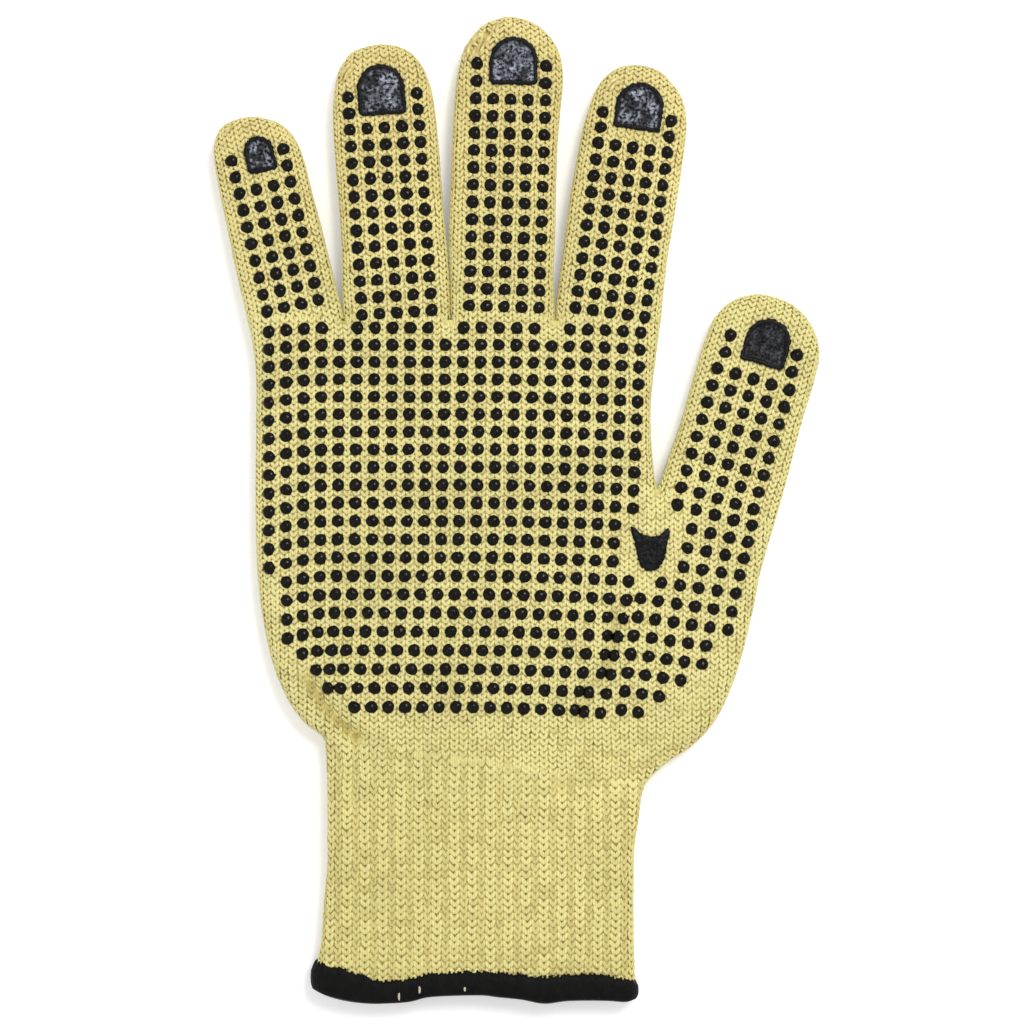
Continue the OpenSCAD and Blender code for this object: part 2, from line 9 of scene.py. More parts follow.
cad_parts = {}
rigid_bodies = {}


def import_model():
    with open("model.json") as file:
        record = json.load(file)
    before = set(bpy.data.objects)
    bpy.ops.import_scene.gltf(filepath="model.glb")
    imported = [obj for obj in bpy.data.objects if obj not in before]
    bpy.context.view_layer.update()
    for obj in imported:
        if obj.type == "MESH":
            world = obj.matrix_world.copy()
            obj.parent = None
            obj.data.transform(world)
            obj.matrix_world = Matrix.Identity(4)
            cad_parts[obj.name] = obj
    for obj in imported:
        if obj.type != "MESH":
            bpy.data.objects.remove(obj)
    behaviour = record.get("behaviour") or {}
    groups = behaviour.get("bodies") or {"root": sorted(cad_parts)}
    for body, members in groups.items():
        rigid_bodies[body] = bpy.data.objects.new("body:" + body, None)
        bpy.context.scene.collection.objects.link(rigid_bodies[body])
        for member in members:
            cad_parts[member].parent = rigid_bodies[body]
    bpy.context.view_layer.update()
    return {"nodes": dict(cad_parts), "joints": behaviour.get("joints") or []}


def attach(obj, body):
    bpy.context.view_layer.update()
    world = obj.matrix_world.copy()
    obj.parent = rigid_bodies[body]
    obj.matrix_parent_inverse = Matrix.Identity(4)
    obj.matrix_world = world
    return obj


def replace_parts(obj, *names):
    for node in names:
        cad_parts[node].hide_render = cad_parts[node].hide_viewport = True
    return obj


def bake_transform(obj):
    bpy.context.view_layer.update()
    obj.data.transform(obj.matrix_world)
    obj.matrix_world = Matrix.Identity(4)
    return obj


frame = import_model()
scene = bpy.context.scene
MM = 0.001

# Sizes in millimetres. X runs to the thumb, Y to the fingertips, Z up out of the palm.
GLOVE_LENGTH = 250.0
GLOVE_THICKNESS = 10.0
YARN_LIFT = 0.5             # how far a stitch stands proud of the cloth
EDGE_ROLL = 6.5             # how far in from the outline the cloth starts to roll round
ROLL_FULLNESS = 2.4         # 2 rolls as an ellipse, more is fuller
WALE = 2.26                 # spacing of the stitch columns
COURSE = 1.46               # spacing of the stitch rows on the hand
CUFF_COURSE = 1.76          # and on the cuff
HAND_WIDTH = 0.94           # width of the stitches on the hand, of a wale
CUFF_RIBBING = 0.15         # how much every second wale of the cuff opens up
KNUCKLE_Y = 48.6
CROTCH = np.array([35.9, 5.0])
THUMB_LEAN = 16.8
WRIST_LEFT = np.array([-48.6, -57.8])
WRIST_RIGHT = np.array([32.7, -69.8])
CLOTH_END_Y = -119.4        # the cuff's last course, inside the hem
SEED = 7

MID_Z = GLOVE_THICKNESS / 2
HALF_Z = MID_Z - YARN_LIFT


# Outline of the glove as it lies, edge by edge

LITTLE_EDGE = [
    (-68.2, 48.6), (-70.4, 58), (-72.9, 70), (-75.5, 82.5), (-76.6, 90), (-75.9, 94.8), (-73.4, 97.9),
    (-67.3, 99.6), (-60.6, 98.2), (-56.5, 94.6), (-54.0, 89), (-52.4, 82.5), (-49.1, 70), (-46.1, 58),
    (-44.0, 50), (-43.6, 48.2)]
RING_EDGE = [
    (-43.6, 48.2), (-44.1, 55), (-44.1, 64.2), (-44.8, 76.4), (-45.8, 88.5), (-46.4, 100), (-45.4, 109.5),
    (-43.6, 113.5), (-40.8, 116.4), (-34.2, 118.0), (-28.0, 116.7), (-24.3, 113.1), (-22.4, 109.2),
    (-21.0, 103.7), (-19.8, 93), (-18.6, 78), (-17.4, 65), (-16.8, 55), (-16.6, 48.2)]
MIDDLE_EDGE = [
    (-16.6, 48.2), (-16.7, 58), (-17.0, 70.3), (-16.5, 82.5), (-16.0, 96), (-15.2, 107), (-13.6, 115.4),
    (-11.2, 119.8), (-7.6, 123.2), (-1.9, 125.0), (4.0, 123.6), (8.0, 120.6), (10.8, 116.2), (11.9, 110),
    (11.3, 102), (10.5, 93), (10.1, 82.5), (9.9, 70.3), (9.5, 58), (10.0, 48.0)]
INDEX_EDGE = [
    (10.0, 48.0), (10.6, 55.1), (11.9, 64.2), (13.4, 76.4), (15.5, 88.5), (17.2, 97), (19.2, 103.5),
    (21.4, 108.2), (25.2, 111.7), (30.6, 112.8), (36.0, 111.4), (39.6, 108), (42.2, 104), (43.2, 98.5),
    (42.8, 92), (40.5, 76.4), (38.5, 64.2), (37.4, 55.1), (36.8, 48.6)]
PALM_RIGHT_EDGE = [(36.8, 48.6), (35.6, 40), (34.4, 30), (34.1, 21.7), (34.5, 14), (35.2, 8), (35.9, 5.0)]
THUMB_EDGE = [
    (35.9, 5.0), (37.5, 9.5), (41.8, 21.7), (45.3, 33.8), (48.1, 42.9), (50.7, 48.8), (54.8, 52.8),
    (61.0, 54.6), (67.0, 53.4), (71.6, 50.8), (75.0, 46.6), (76.9, 40.5), (76.0, 33.8), (72.4, 21.7),
    (69.2, 9.5), (65.8, -2.7)]
BALL_EDGE = [
    (65.8, -2.7), (62.3, -14.8), (59.8, -27), (56.7, -39.1), (53.4, -48), (49.9, -54.3), (44.6, -60),
    (38.6, -64), (34.4, -67.6), (32.7, -69.8)]
CUFF_RIGHT_EDGE = [
    (32.7, -69.8), (31.8, -73), (31.0, -79), (30.0, -88), (29.8, -105), (30.0, -113.5), (30.2, -120),
    (30.2, -127)]
PALM_LEFT_EDGE = [(-68.2, 48.6), (-66.6, 41), (-65.9, 32), (-65.9, 21.7), (-66.1, 9.5), (-66.1, 0)]
HEEL_EDGE = [
    (-66.1, 0), (-65.6, -14.8), (-64.3, -27), (-61.6, -39.1), (-57.8, -48.3), (-53.8, -53.8), (-50.2, -56.6),
    (-48.6, -57.8)]
CUFF_LEFT_EDGE = [
    (-48.6, -57.8), (-48.2, -60.5), (-48.0, -66), (-47.9, -75), (-47.9, -90), (-48.7, -100), (-49.4, -110),
    (-50.5, -115), (-51.0, -119), (-51.0, -127)]
# The black hem on the palm side, from left to right
HEM_TOP = [
    (-51.4, -114.4), (-43.1, -116.2), (-38.8, -117.5), (-34.4, -118.8), (-28.6, -118.8), (-24.2, -117.6),
    (-19.8, -117.0), (-9.4, -116.6), (0.5, -117.2), (5.2, -118.1), (16.0, -117.3), (23.3, -117.8),
    (31.0, -119.4)]
HEM_BOTTOM = [
    (-51.4, -121.6), (-48.9, -122.7), (-43.1, -124.2), (-37.2, -124.9), (-31.4, -124.8), (-26.6, -124.4),
    (-21.3, -123.2), (-9.4, -122.8), (-4.4, -123.3), (1.4, -123.9), (7.2, -124.9), (13.7, -124.2),
    (23.3, -124.2), (28.5, -124.6), (31.0, -123.4)]


def smooth_line(points, step=0.8):
    """A curve through the points, with a sample about every step."""
    p = np.array(points, float)
    p = np.vstack([2 * p[0] - p[1], p, 2 * p[-1] - p[-2]])
    out = []
    for a, b, c, d in zip(p[:-3], p[1:-2], p[2:-1], p[3:]):
        n = max(2, int(np.linalg.norm(c - b) / step))
        t = np.arange(n)[:, None] / n
        out.append(0.5 * (2 * b + (c - a) * t + (2 * a - 5 * b + 4 * c - d) * t**2
                          + (3 * b - a - 3 * c + d) * t**3))
    return np.vstack(out + [p[-2:-1]])


def eased(t):
    """Runs from 0 to 1 with soft ends."""
    t = np.clip(t, 0, 1)
    return t * t * (3 - 2 * t)


def unit(vectors):
    """Vectors of length one, row by row."""
    return vectors / np.maximum(np.linalg.norm(vectors, axis=1), 1e-9)[:, None]


def nearest_on(lines, q):
    """For each point, the distance to the nearest line and the place on it."""
    best = np.full(len(q), 1e9)
    place = np.zeros((len(q), 2))
    for line in lines:
        for a, b in zip(line[:-1], line[1:]):
            along = b - a
            t = np.clip(((q - a) @ along) / (along @ along), 0, 1)
            near = a + t[:, None] * along
            d = np.linalg.norm(q - near, axis=1)
            closer = d < best
            best[closer] = d[closer]
            place[closer] = near[closer]
    return best, place


def inside(polygon, q):
    """Which points lie inside a closed polygon."""
    within = np.zeros(len(q), bool)
    for a, b in zip(polygon, np.roll(polygon, -1, axis=0)):
        spans = (a[1] > q[:, 1]) != (b[1] > q[:, 1])
        if spans.any():
            x = a[0] + (q[:, 1] - a[1]) * (b[0] - a[0]) / (b[1] - a[1] if b[1] != a[1] else 1e-9)
            within ^= spans & (q[:, 0] < x)
    return within


# The rolled edge: run along the cloth from the outline, distance in from the outline, and rise
ROLL_ANGLE = np.linspace(0, math.pi / 2, 60)
ROLL_IN = EDGE_ROLL * (1 - np.cos(ROLL_ANGLE) ** (2 / ROLL_FULLNESS))
ROLL_RISE = HALF_Z * np.sin(ROLL_ANGLE) ** (2 / ROLL_FULLNESS)
ROLL_RUN = np.concatenate([[0], np.cumsum(np.hypot(np.diff(ROLL_IN), np.diff(ROLL_RISE)))])
OVERHANG = ROLL_RUN[-1] - EDGE_ROLL
SET_IN = 0.35               # the cloth lies this far inside the outline, for the stitches on it
SINK_FROM, SINK_OVER = 0.4, 1.8     # cloth starts to sink this far within a limit, over this length


class Region:
    """A part of the cloth with its own stitch grid. Limits are lines: point, inward
    direction, how far the cloth and the stitches run on past it, and how far they sink there."""

    def __init__(self, name, edges, polygon, limits, origin, lean, course):
        self.name, self.limits, self.course = name, limits, course
        self.ribbing = CUFF_RIBBING if name == "cuff" else 0.0
        self.edges = [smooth_line(e) for e in edges]
        self.polygon = np.vstack([smooth_line(p) if len(p) > 4 else np.array(p, float) for p in polygon])
        self.origin = np.array(origin, float)
        a = math.radians(lean)
        self.across = np.array([math.cos(a), -math.sin(a)])
        self.along = np.array([math.sin(a), math.cos(a)])

    def depth(self, q):
        """Distance in from the outline, and the direction inwards."""
        d, near = nearest_on(self.edges, q)
        sign = np.where(inside(self.polygon, q), 1.0, -1.0)
        inwards = (q - near) / np.maximum(d, 1e-6)[:, None] * sign[:, None]
        return d * sign, inwards

    def within_limits(self, q, stitched):
        """Which points lie within the limits, for stitches or for the cloth behind them."""
        keep = np.ones(len(q), bool)
        for point, inward, spare, run_on, _ in self.limits:
            keep &= (q - np.array(point)) @ np.array(inward) > -(run_on if stitched else spare)
        return keep

    def sunk(self, q):
        """How far the cloth lies below its neighbour where it runs on under it."""
        sink = np.zeros(len(q))
        for point, inward, _, _, deep in self.limits:
            within = (q - np.array(point)) @ np.array(inward)
            sink = np.maximum(sink, deep * eased((SINK_FROM - within) / SINK_OVER))
        return sink

    def lay(self, q, front):
        """Lays points of the flat cloth on the glove, round the rolled edge."""
        depth, inwards = self.depth(q)
        run = np.clip(depth + OVERHANG, 0, None)
        rolled = run < ROLL_RUN[-1]
        place_in = np.where(rolled, np.interp(run, ROLL_RUN, ROLL_IN), depth)
        rise = np.where(rolled, np.interp(run, ROLL_RUN, ROLL_RISE), HALF_Z)
        xy = q + (place_in - depth + SET_IN * (1 - rise / HALF_Z))[:, None] * inwards
        sink = (1 if front else -1) * self.sunk(q) * rise / HALF_Z
        return np.column_stack([xy, lifted(xy, rise, front) - sink])

    def height(self, xy):
        """Height of the palm side at places seen from above."""
        depth, _ = self.depth(xy)
        return lifted(xy, np.interp(np.clip(depth, 0, None), ROLL_IN, ROLL_RISE), True)


# Where the palm folds beside the ball of the thumb
PALM_FOLD = [(25.2, -27.5), (23.6, -37.0), (22.2, -41.5), (18.4, -46.0), (15.6, -52.5)]
# Creases that the photograph shows in the cloth: line, depth, half width
CREASES = [
    (smooth_line([(-52.5, -44.0), (-48.0, -50.2), (-43.8, -54.4), (-40.0, -57.8)]), 2.0, 2.6),
    (smooth_line([(-44.0, -58.5), (-42.8, -66.0), (-42.0, -74.0)]), 0.8, 2.6),
    (smooth_line(PALM_FOLD), 1.3, 2.3),
    (smooth_line([(-18.0, -31.0), (-17.4, -40.0), (-16.5, -51.0)]), 0.5, 2.2),
    (smooth_line([(44.0, -58.5), (34.0, -63.5), (24.0, -67.5), (12.0, -70.0)]), 1.2, 2.6),
    (smooth_line([(47.5, -46.0), (42.0, -53.0), (34.5, -59.5), (25.0, -63.0)]), 0.9, 2.4),
    (smooth_line([(-10.4, 115.4), (-8.2, 118.2), (-5.0, 122.6)]), 1.7, 1.1),
]


MOUTH_FLATTENING = 0.12     # share of the height that the cuff loses at its mouth
MOUTH_FROM_Y, MOUTH_OVER = -104.0, 14.0     # where that starts, over which length
FOLD_SHADE_FROM = 0.9        # creases deeper than this get painted shade at the bottom


def mouth_taper(y):
    """The cuff flattens a little towards its mouth."""
    return 1 - MOUTH_FLATTENING * eased((MOUTH_FROM_Y - y) / MOUTH_OVER)


def near_crease(line, xy, reach=12.0):
    """Which points lie near a crease, and their distance from it."""
    near = ((xy > line.min(0) - reach) & (xy < line.max(0) + reach)).all(axis=1)
    return near, nearest_on([line], xy[near])[0]


def lifted(xy, rise, front):
    """The height of the cloth, with its creases and slack."""
    rise = rise * mouth_taper(xy[:, 1])
    if not front:
        return MID_Z - rise
    x, y = xy.T
    slack = (0.22 * np.sin(x / 7.3 + y / 13.0) + 0.2 * np.sin(y / 6.1 - x / 17.0)
             + 0.16 * np.sin(x / 3.9 + 2.0) * np.sin(y / 4.7)) - 0.2
    for line, deep, half_width in CREASES:
        near, d = near_crease(line, xy)
        swell = 0.3 * np.exp(-((d - 2.2 * half_width) / half_width) ** 2)
        slack[near] += deep * (swell - np.exp(-(d / half_width) ** 2))
    return MID_Z + rise + slack * rise / HALF_Z


def fold_shade_depth(xy):
    """How deep in a crease places of the palm side lie, from 0 to 1, which sets the painted shade there."""
    fold = np.zeros(len(xy))
    for line, deep, half_width in CREASES:
        near, d = near_crease(line, xy)
        bottom = (deep - FOLD_SHADE_FROM) * np.exp(-(d / (0.5 * half_width)) ** 2)
        fold[near] = np.maximum(fold[near], bottom)
    return fold.clip(0, 1)


UP = (0, 1)
DOWN = (0, -1)
LAP = 3.0                   # how far the cloth runs on under its neighbour
WRIST_ALONG = (WRIST_RIGHT - WRIST_LEFT) / np.linalg.norm(WRIST_RIGHT - WRIST_LEFT)
WRIST_UP = np.array([-WRIST_ALONG[1], WRIST_ALONG[0]])
THUMB_UP = np.array([math.sin(math.radians(THUMB_LEAN)), math.cos(math.radians(THUMB_LEAN))])

# Each finger: edge, root x and lean
FINGERS = {
    "little": (LITTLE_EDGE, -55.7, -13.2),
    "ring": (RING_EDGE, -30.0, -3.8),
    "middle": (MIDDLE_EDGE, -3.1, 1.8),
    "index": (INDEX_EDGE, 23.6, 7.8),
}
THUMB_ROOT = np.array([50.15, 0.61])
HINGES = {joint["name"]: np.array(joint["pos_m"][:2]) / MM for joint in frame["joints"]}
PALM_ORIGIN = (-3.1, KNUCKLE_Y)
INTO_PALM = 20              # how far a finger's region reaches down into the palm

regions = {}
for name, (edge, root_x, lean) in FINGERS.items():
    left_end, right_end = [(x, y - INTO_PALM) for x, y in (edge[0], edge[-1])]
    edges, polygon = [edge], [edge, [right_end, left_end]]
    if name == "little":
        edges, polygon = [edge, PALM_LEFT_EDGE[:4]], [edge, [right_end], PALM_LEFT_EDGE[3::-1]]
    if name == "index":
        edges, polygon = [edge, PALM_RIGHT_EDGE[:4]], [edge, PALM_RIGHT_EDGE[:4], [left_end]]
    regions[name] = Region(
        name, edges, polygon, [((0, KNUCKLE_Y), UP, LAP, 1.2, 0.8)], (root_x, KNUCKLE_Y), lean, COURSE)
regions["thumb"] = Region(
    "thumb", [THUMB_EDGE, BALL_EDGE[:4]], [THUMB_EDGE + BALL_EDGE[1:4], [(32, -16)]],
    [(CROTCH, THUMB_UP, LAP, 1.2, 0.8)], THUMB_ROOT, THUMB_LEAN, COURSE)
root_edges = [edge[:4] for edge, _, _ in FINGERS.values()] + [edge[-4:] for edge, _, _ in FINGERS.values()]
regions["upper_palm"] = Region(
    "upper_palm", [PALM_LEFT_EDGE, HEEL_EDGE, PALM_RIGHT_EDGE] + root_edges,
    [PALM_LEFT_EDGE, [(-66, -20), (36, -20)], PALM_RIGHT_EDGE[::-1], [(36.8, 70), (-68.2, 70)]],
    [((0, KNUCKLE_Y), DOWN, 0.6, 0.2, 0.2), (CROTCH, UP, LAP, 0, 0)], PALM_ORIGIN, 0, COURSE)
regions["lower_palm"] = Region(
    "lower_palm",
    [PALM_LEFT_EDGE, HEEL_EDGE, PALM_RIGHT_EDGE, THUMB_EDGE, BALL_EDGE, CUFF_LEFT_EDGE, CUFF_RIGHT_EDGE],
    [PALM_LEFT_EDGE, HEEL_EDGE, [(-48.0, -90), (30.0, -90)], BALL_EDGE[::-1], THUMB_EDGE[::-1],
     PALM_RIGHT_EDGE[::-1]],
    [(CROTCH, DOWN, LAP, 0, 0), (CROTCH, -THUMB_UP, 0.8, 0.3, 0.2), (WRIST_LEFT, WRIST_UP, LAP, 0.5, 0)],
    PALM_ORIGIN, 0, COURSE)
regions["cuff"] = Region(
    "cuff", [CUFF_LEFT_EDGE, CUFF_RIGHT_EDGE, HEEL_EDGE, BALL_EDGE],
    [HEEL_EDGE[2:], CUFF_LEFT_EDGE, CUFF_RIGHT_EDGE[::-1], BALL_EDGE[:1:-1]],
    [(WRIST_LEFT, -WRIST_UP, LAP, 1.0, 0.45), ((0, CLOTH_END_Y), UP, 0.5, 0, 0)],
    (PALM_ORIGIN[0], CLOTH_END_Y), 0, CUFF_COURSE)


def new_object(name, mesh):
    made = bpy.data.objects.new(name, mesh)
    scene.collection.objects.link(made)
    return made


def mesh_of(name, points, faces):
    """A mesh from points in millimetres."""
    mesh = bpy.data.meshes.new(name)
    mesh.from_pydata((np.asarray(points) * MM).tolist(), [], faces)
    mesh.update()
    return mesh


def finished(name, points, faces, finish):
    """An object with one material, shaded smooth."""
    mesh = mesh_of(name, points, faces)
    mesh.materials.append(finish)
    mesh.shade_smooth()
    return new_object(name, mesh)


def between_rings(sides, rings, first=0, closed=False):
    """Faces between rings of points; closed also joins the last ring to the first one."""
    faces = []
    for ring in range(rings if closed else rings - 1):
        a, b = first + ring * sides, first + (ring + 1) % rings * sides
        for i in range(sides):
            j = (i + 1) % sides
            faces.append((a + i, a + j, b + j, b + i))
    return faces


def domed(sides, rings):
    """Faces of rings of points from the foot up, with a point at the top and a closed foot."""
    last = (rings - 1) * sides
    top = [(last + i, last + (i + 1) % sides, rings * sides) for i in range(sides)]
    return between_rings(sides, rings) + top + [tuple(range(sides))[::-1]]


# Materials

WHITE = (1.0, 1.0, 1.0)


def grey(level):
    return (level, level, level)


def material(name, **settings):
    """A new material with its shader; settings go straight on the shader's sockets."""
    made = bpy.data.materials.new(name)
    made.use_nodes = True
    shader = made.node_tree.nodes["Principled BSDF"]
    for socket, value in settings.items():
        shader.inputs[socket.replace("_", " ")].default_value = value
    return made, made.node_tree, shader


def add(tree, kind, inputs=(), **settings):
    """A node with its settings, and its inputs linked or set in order of the pairs given."""
    made = tree.nodes.new(kind)
    for key, value in settings.items():
        setattr(made, key, value)
    for socket, value in dict(inputs).items():
        target = made.inputs[socket]
        if isinstance(value, bpy.types.NodeSocket):
            tree.links.new(value, target)
        else:
            target.default_value = value
    return made


def ramp(tree, factor, stops):
    """A colour ramp over factor, through (place, colour) stops."""
    made = add(tree, "ShaderNodeValToRGB", {"Fac": factor})
    while len(made.color_ramp.elements) < len(stops):
        made.color_ramp.elements.new(0.5)
    for element, (place, colour) in zip(made.color_ramp.elements, stops):
        element.position = place
        element.color = (*colour, 1)
    return made.outputs["Color"]


def coloured(tree, shader, colour):
    tree.links.new(colour, shader.inputs["Base Color"])


def spots(tree, scale, detail=2.0, kind="ShaderNodeTexNoise", output="Fac"):
    """Fine spots over the piece, about 1/scale metres apart."""
    where = add(tree, "ShaderNodeTexCoord").outputs["Object"]
    made = add(tree, kind, {"Vector": where, "Scale": scale})
    if "Detail" in made.inputs:
        made.inputs["Detail"].default_value = detail
    return made.outputs[output]


def bumped(tree, shader, height, distance, strength=1.0):
    """Bumps of a height, up to distance metres deep."""
    made = add(tree, "ShaderNodeBump", {"Height": height, "Distance": distance, "Strength": strength})
    tree.links.new(made.outputs["Normal"], shader.inputs["Normal"])


def times(tree, *colours):
    """The product of some colours."""
    product = colours[0]
    for colour in colours[1:]:
        both = add(tree, "ShaderNodeMix", {"Factor": 1.0, 6: product, 7: colour}, data_type="RGBA",
                   blend_type="MULTIPLY")
        product = both.outputs[2]
    return product


def attribute(tree, name):
    return add(tree, "ShaderNodeAttribute", attribute_name=name).outputs["Fac"]


def painted_fold_shade(tree):
    """Painted shade: darker, warmer cloth at the bottom of a crease, where shade falls."""
    return ramp(tree, attribute(tree, "fold"), [(0.0, WHITE), (1.0, (0.70, 0.65, 0.50))])


def along_glove(tree):
    """The yarn's tone from the mouth to the fingertips: yellow cuff, paler palm, warmer tips."""
    place = add(tree, "ShaderNodeTexCoord").outputs["Object"]
    apart = add(tree, "ShaderNodeSeparateXYZ", {0: place})
    share = add(tree, "ShaderNodeMapRange", {
        "Value": apart.outputs["Y"], "From Min": -GLOVE_LENGTH / 2 * MM, "From Max": GLOVE_LENGTH / 2 * MM})
    return ramp(tree, share.outputs[0], [
        (0.0, (0.985, 0.96, 0.89)), (0.18, (0.985, 0.96, 0.89)), (0.32, WHITE), (0.7, (1.0, 0.99, 0.98)),
        (0.92, (0.98, 0.92, 0.87)), (1.0, (0.97, 0.90, 0.85))])


def yarn_material():
    """Spun yarn with painted light and shade: pale on the crests, olive in the gaps, each stitch a little
    different, with fine fibres.
    """
    made, tree, shader = material("aramid_yarn", Roughness=0.8, Sheen_Weight=0.25, Sheen_Roughness=0.5)
    # Painted light and shade: the yarn is paler on its crests and a more saturated yellow low on the legs,
    # where light bounces between them.
    painted_lift_shade = ramp(tree, attribute(tree, "lift"), [
        (0.0, (0.93, 0.83, 0.27)), (0.4, (0.90, 0.825, 0.335)), (1.0, (0.90, 0.85, 0.425))])
    hue = ramp(tree, attribute(tree, "tint"), [
        (0.0, (0.87, 0.83, 0.72)), (0.45, (0.98, 0.98, 0.92)), (0.8, (1.0, 0.97, 0.87)),
        (1.0, (1.0, 0.99, 0.97))])
    patches = ramp(tree, spots(tree, 38.0), [(0.3, (0.90, 0.90, 0.86)), (0.7, WHITE)])
    # Painted shade in the grooves between the plies, as stripes along each leg.
    round_ply = add(tree, "ShaderNodeMath", {0: attribute(tree, "ply"), 1: 1.0}, operation="PINGPONG")
    painted_ply_shade = ramp(tree, round_ply.outputs[0], [(0.0, (0.74, 0.69, 0.51)), (0.45, WHITE)])
    # Painted shade: the sunken wales of the cuff's ribs, where open is 0, are a little darker.
    painted_wale_shade = ramp(tree, attribute(tree, "open"), [(0.0, (0.90, 0.885, 0.83)), (0.4, WHITE)])
    coloured(tree, shader, times(tree, painted_lift_shade, hue, patches, painted_ply_shade, painted_wale_shade, painted_fold_shade(tree), along_glove(tree)))
    bumped(tree, shader, spots(tree, 5200.0, 3.0), 0.00012, 0.7)
    return made


def backing_material():
    """The cloth between and behind the stitches, with painted shade where the open attribute marks holes."""
    made, tree, shader = material("knit_backing", Roughness=0.9)
    fibres = ramp(tree, spots(tree, 900.0), [(0.3, (0.78, 0.76, 0.72)), (0.7, WHITE)])
    # Painted shade: the backing turns dark olive in the holes between the stitches, where shade falls.
    deep = ramp(tree, attribute(tree, "open"), [
        (0.0, (0.93, 0.83, 0.31)), (0.6, (0.88, 0.77, 0.25)), (1.0, (0.40, 0.32, 0.07))])
    coloured(tree, shader, times(tree, fibres, deep, painted_fold_shade(tree)))
    bumped(tree, shader, spots(tree, 2600.0), 0.0003)
    return made


def spotted_material(name, scale, stops, bump_scale, bump, **settings):
    """A material with spots of two colours and fine bumps."""
    made, tree, shader = material(name, **settings)
    coloured(tree, shader, ramp(tree, spots(tree, scale), stops))
    bumped(tree, shader, spots(tree, bump_scale), bump)
    return made, tree, shader


def glossy(tree, shader, scale, detail, low, high):
    """Roughness that varies in spots between two levels."""
    gloss = ramp(tree, spots(tree, scale, detail), [(0.3, grey(low)), (0.7, grey(high))])
    tree.links.new(gloss, shader.inputs["Roughness"])


def dot_material():
    """Soft black plastic, glossy, with a faint skin."""
    made, tree, shader = spotted_material(
        "dot_plastic", 700.0, [(0.3, (0.002, 0.0017, 0.0010)), (0.7, (0.009, 0.0080, 0.0050))],
        1800.0, 0.00008, Specular_IOR_Level=0.15, Specular_Tint=(1.0, 0.97, 0.90, 1.0))
    glossy(tree, shader, 1500.0, 2.0, 0.08, 0.16)
    return made


def pad_material(name, low, high, dull, shine):
    """Pebbled soft plastic, its grains lighter partly in their own grey and partly as painted glints, with a
    smooth dark rim, where the rim attribute is 1.
    """
    made, tree, shader = material(name, Specular_IOR_Level=shine)
    grain = spots(tree, 1300.0, 4.0)
    # The grains' light tops are partly the print's own grey and partly painted glints where the pebbles catch
    # the light.
    grain_tone_and_glint = ramp(tree, grain, [(0.42, low), (0.64, high)])
    worn = ramp(tree, spots(tree, 300.0, 1.0), [(0.37, grey(0.10)), (0.60, WHITE)])
    holes = spots(tree, 430.0, 0.0, "ShaderNodeTexVoronoi", "Distance")
    pinned = ramp(tree, holes, [(0.13, grey(0.02)), (0.2, WHITE)])
    colour = add(tree, "ShaderNodeMix", {
        "Factor": attribute(tree, "rim"), 6: times(tree, grain_tone_and_glint, worn, pinned), 7: (0.005, 0.005, 0.006, 1)},
        data_type="RGBA")
    coloured(tree, shader, colour.outputs[2])
    glossy(tree, shader, 2100.0, 3.0, 0.14, dull)
    bumped(tree, shader, grain, 0.00035)
    return made


YARN = yarn_material()
TUCKED, _, _ = spotted_material(
    "tucked_yarn", 700.0, [(0.35, (0.56, 0.44, 0.14)), (0.65, (0.86, 0.76, 0.33))], 2600.0, 0.0002,
    Roughness=0.8, Sheen_Weight=0.2)
BACKING = backing_material()
DOTS = dot_material()
PADS = pad_material("pad_plastic", (0.004, 0.005, 0.007), (0.39, 0.425, 0.50), 0.45, 0.13)
THUMB_PADS = pad_material("thumb_pad_plastic", (0.003, 0.003, 0.004), (0.07, 0.073, 0.08), 0.4, 0.15)
PATCH = pad_material("patch_plastic", (0.003, 0.003, 0.003), (0.006, 0.0055, 0.005), 0.2, 0.12)
THREAD, _, _ = spotted_material(
    "overlock_thread", 420.0, [(0.3, (0.0018, 0.0017, 0.0015)), (0.75, (0.0055, 0.005, 0.0045))],
    4200.0, 0.00012, Roughness=0.36, Specular_IOR_Level=0.11)
ELASTIC, _, _ = spotted_material(
    "elastic_yarn", 1600.0, [(0.3, (0.50, 0.44, 0.30)), (0.7, (0.68, 0.62, 0.46))],
    3800.0, 0.0001, Roughness=0.75)


# Knitting

# One leg of a stitch from its foot to its head: place across in wales, along in courses, lift,
# half width in millimetres
LEG = [(0.01, -0.70, 0.20, 0.0), (0.075, -0.46, 0.85, 0.40), (0.19, -0.14, 1.0, 0.53),
       (0.325, 0.17, 0.95, 0.53), (0.44, 0.46, 0.72, 0.43), (0.515, 0.70, 0.20, 0.0)]
LEG_SECTION = [(1.0, 0.0), (0.55, 0.85), (-0.55, 0.85), (-1.0, 0.0), (0.0, -0.3)]
LEG_NORMAL = (0.83, -0.56)  # across a leg, in the plane of the cloth
PLY_TURNS = 4.6             # turns of the plies along a leg
PLY_SLANT = 1.3             # and how far they slant across it
LEG_SET_IN = 0.06           # how deep the legs lie in the cloth
UNEVEN = 0.09               # how far rows and columns of stitches wander
STRAY = 0.05                # how far a single stitch strays
LOW_WALE = 0.75             # height of the sunken wales of the cuff's ribs
SET_BACK = 0.1              # how far the backing lies behind the stitches
SPARE = 1.9                 # cloth without stitches that each piece has beyond its ends
EDGE_KEEP = 0.35            # least distance of a stitch from the outline, along the cloth


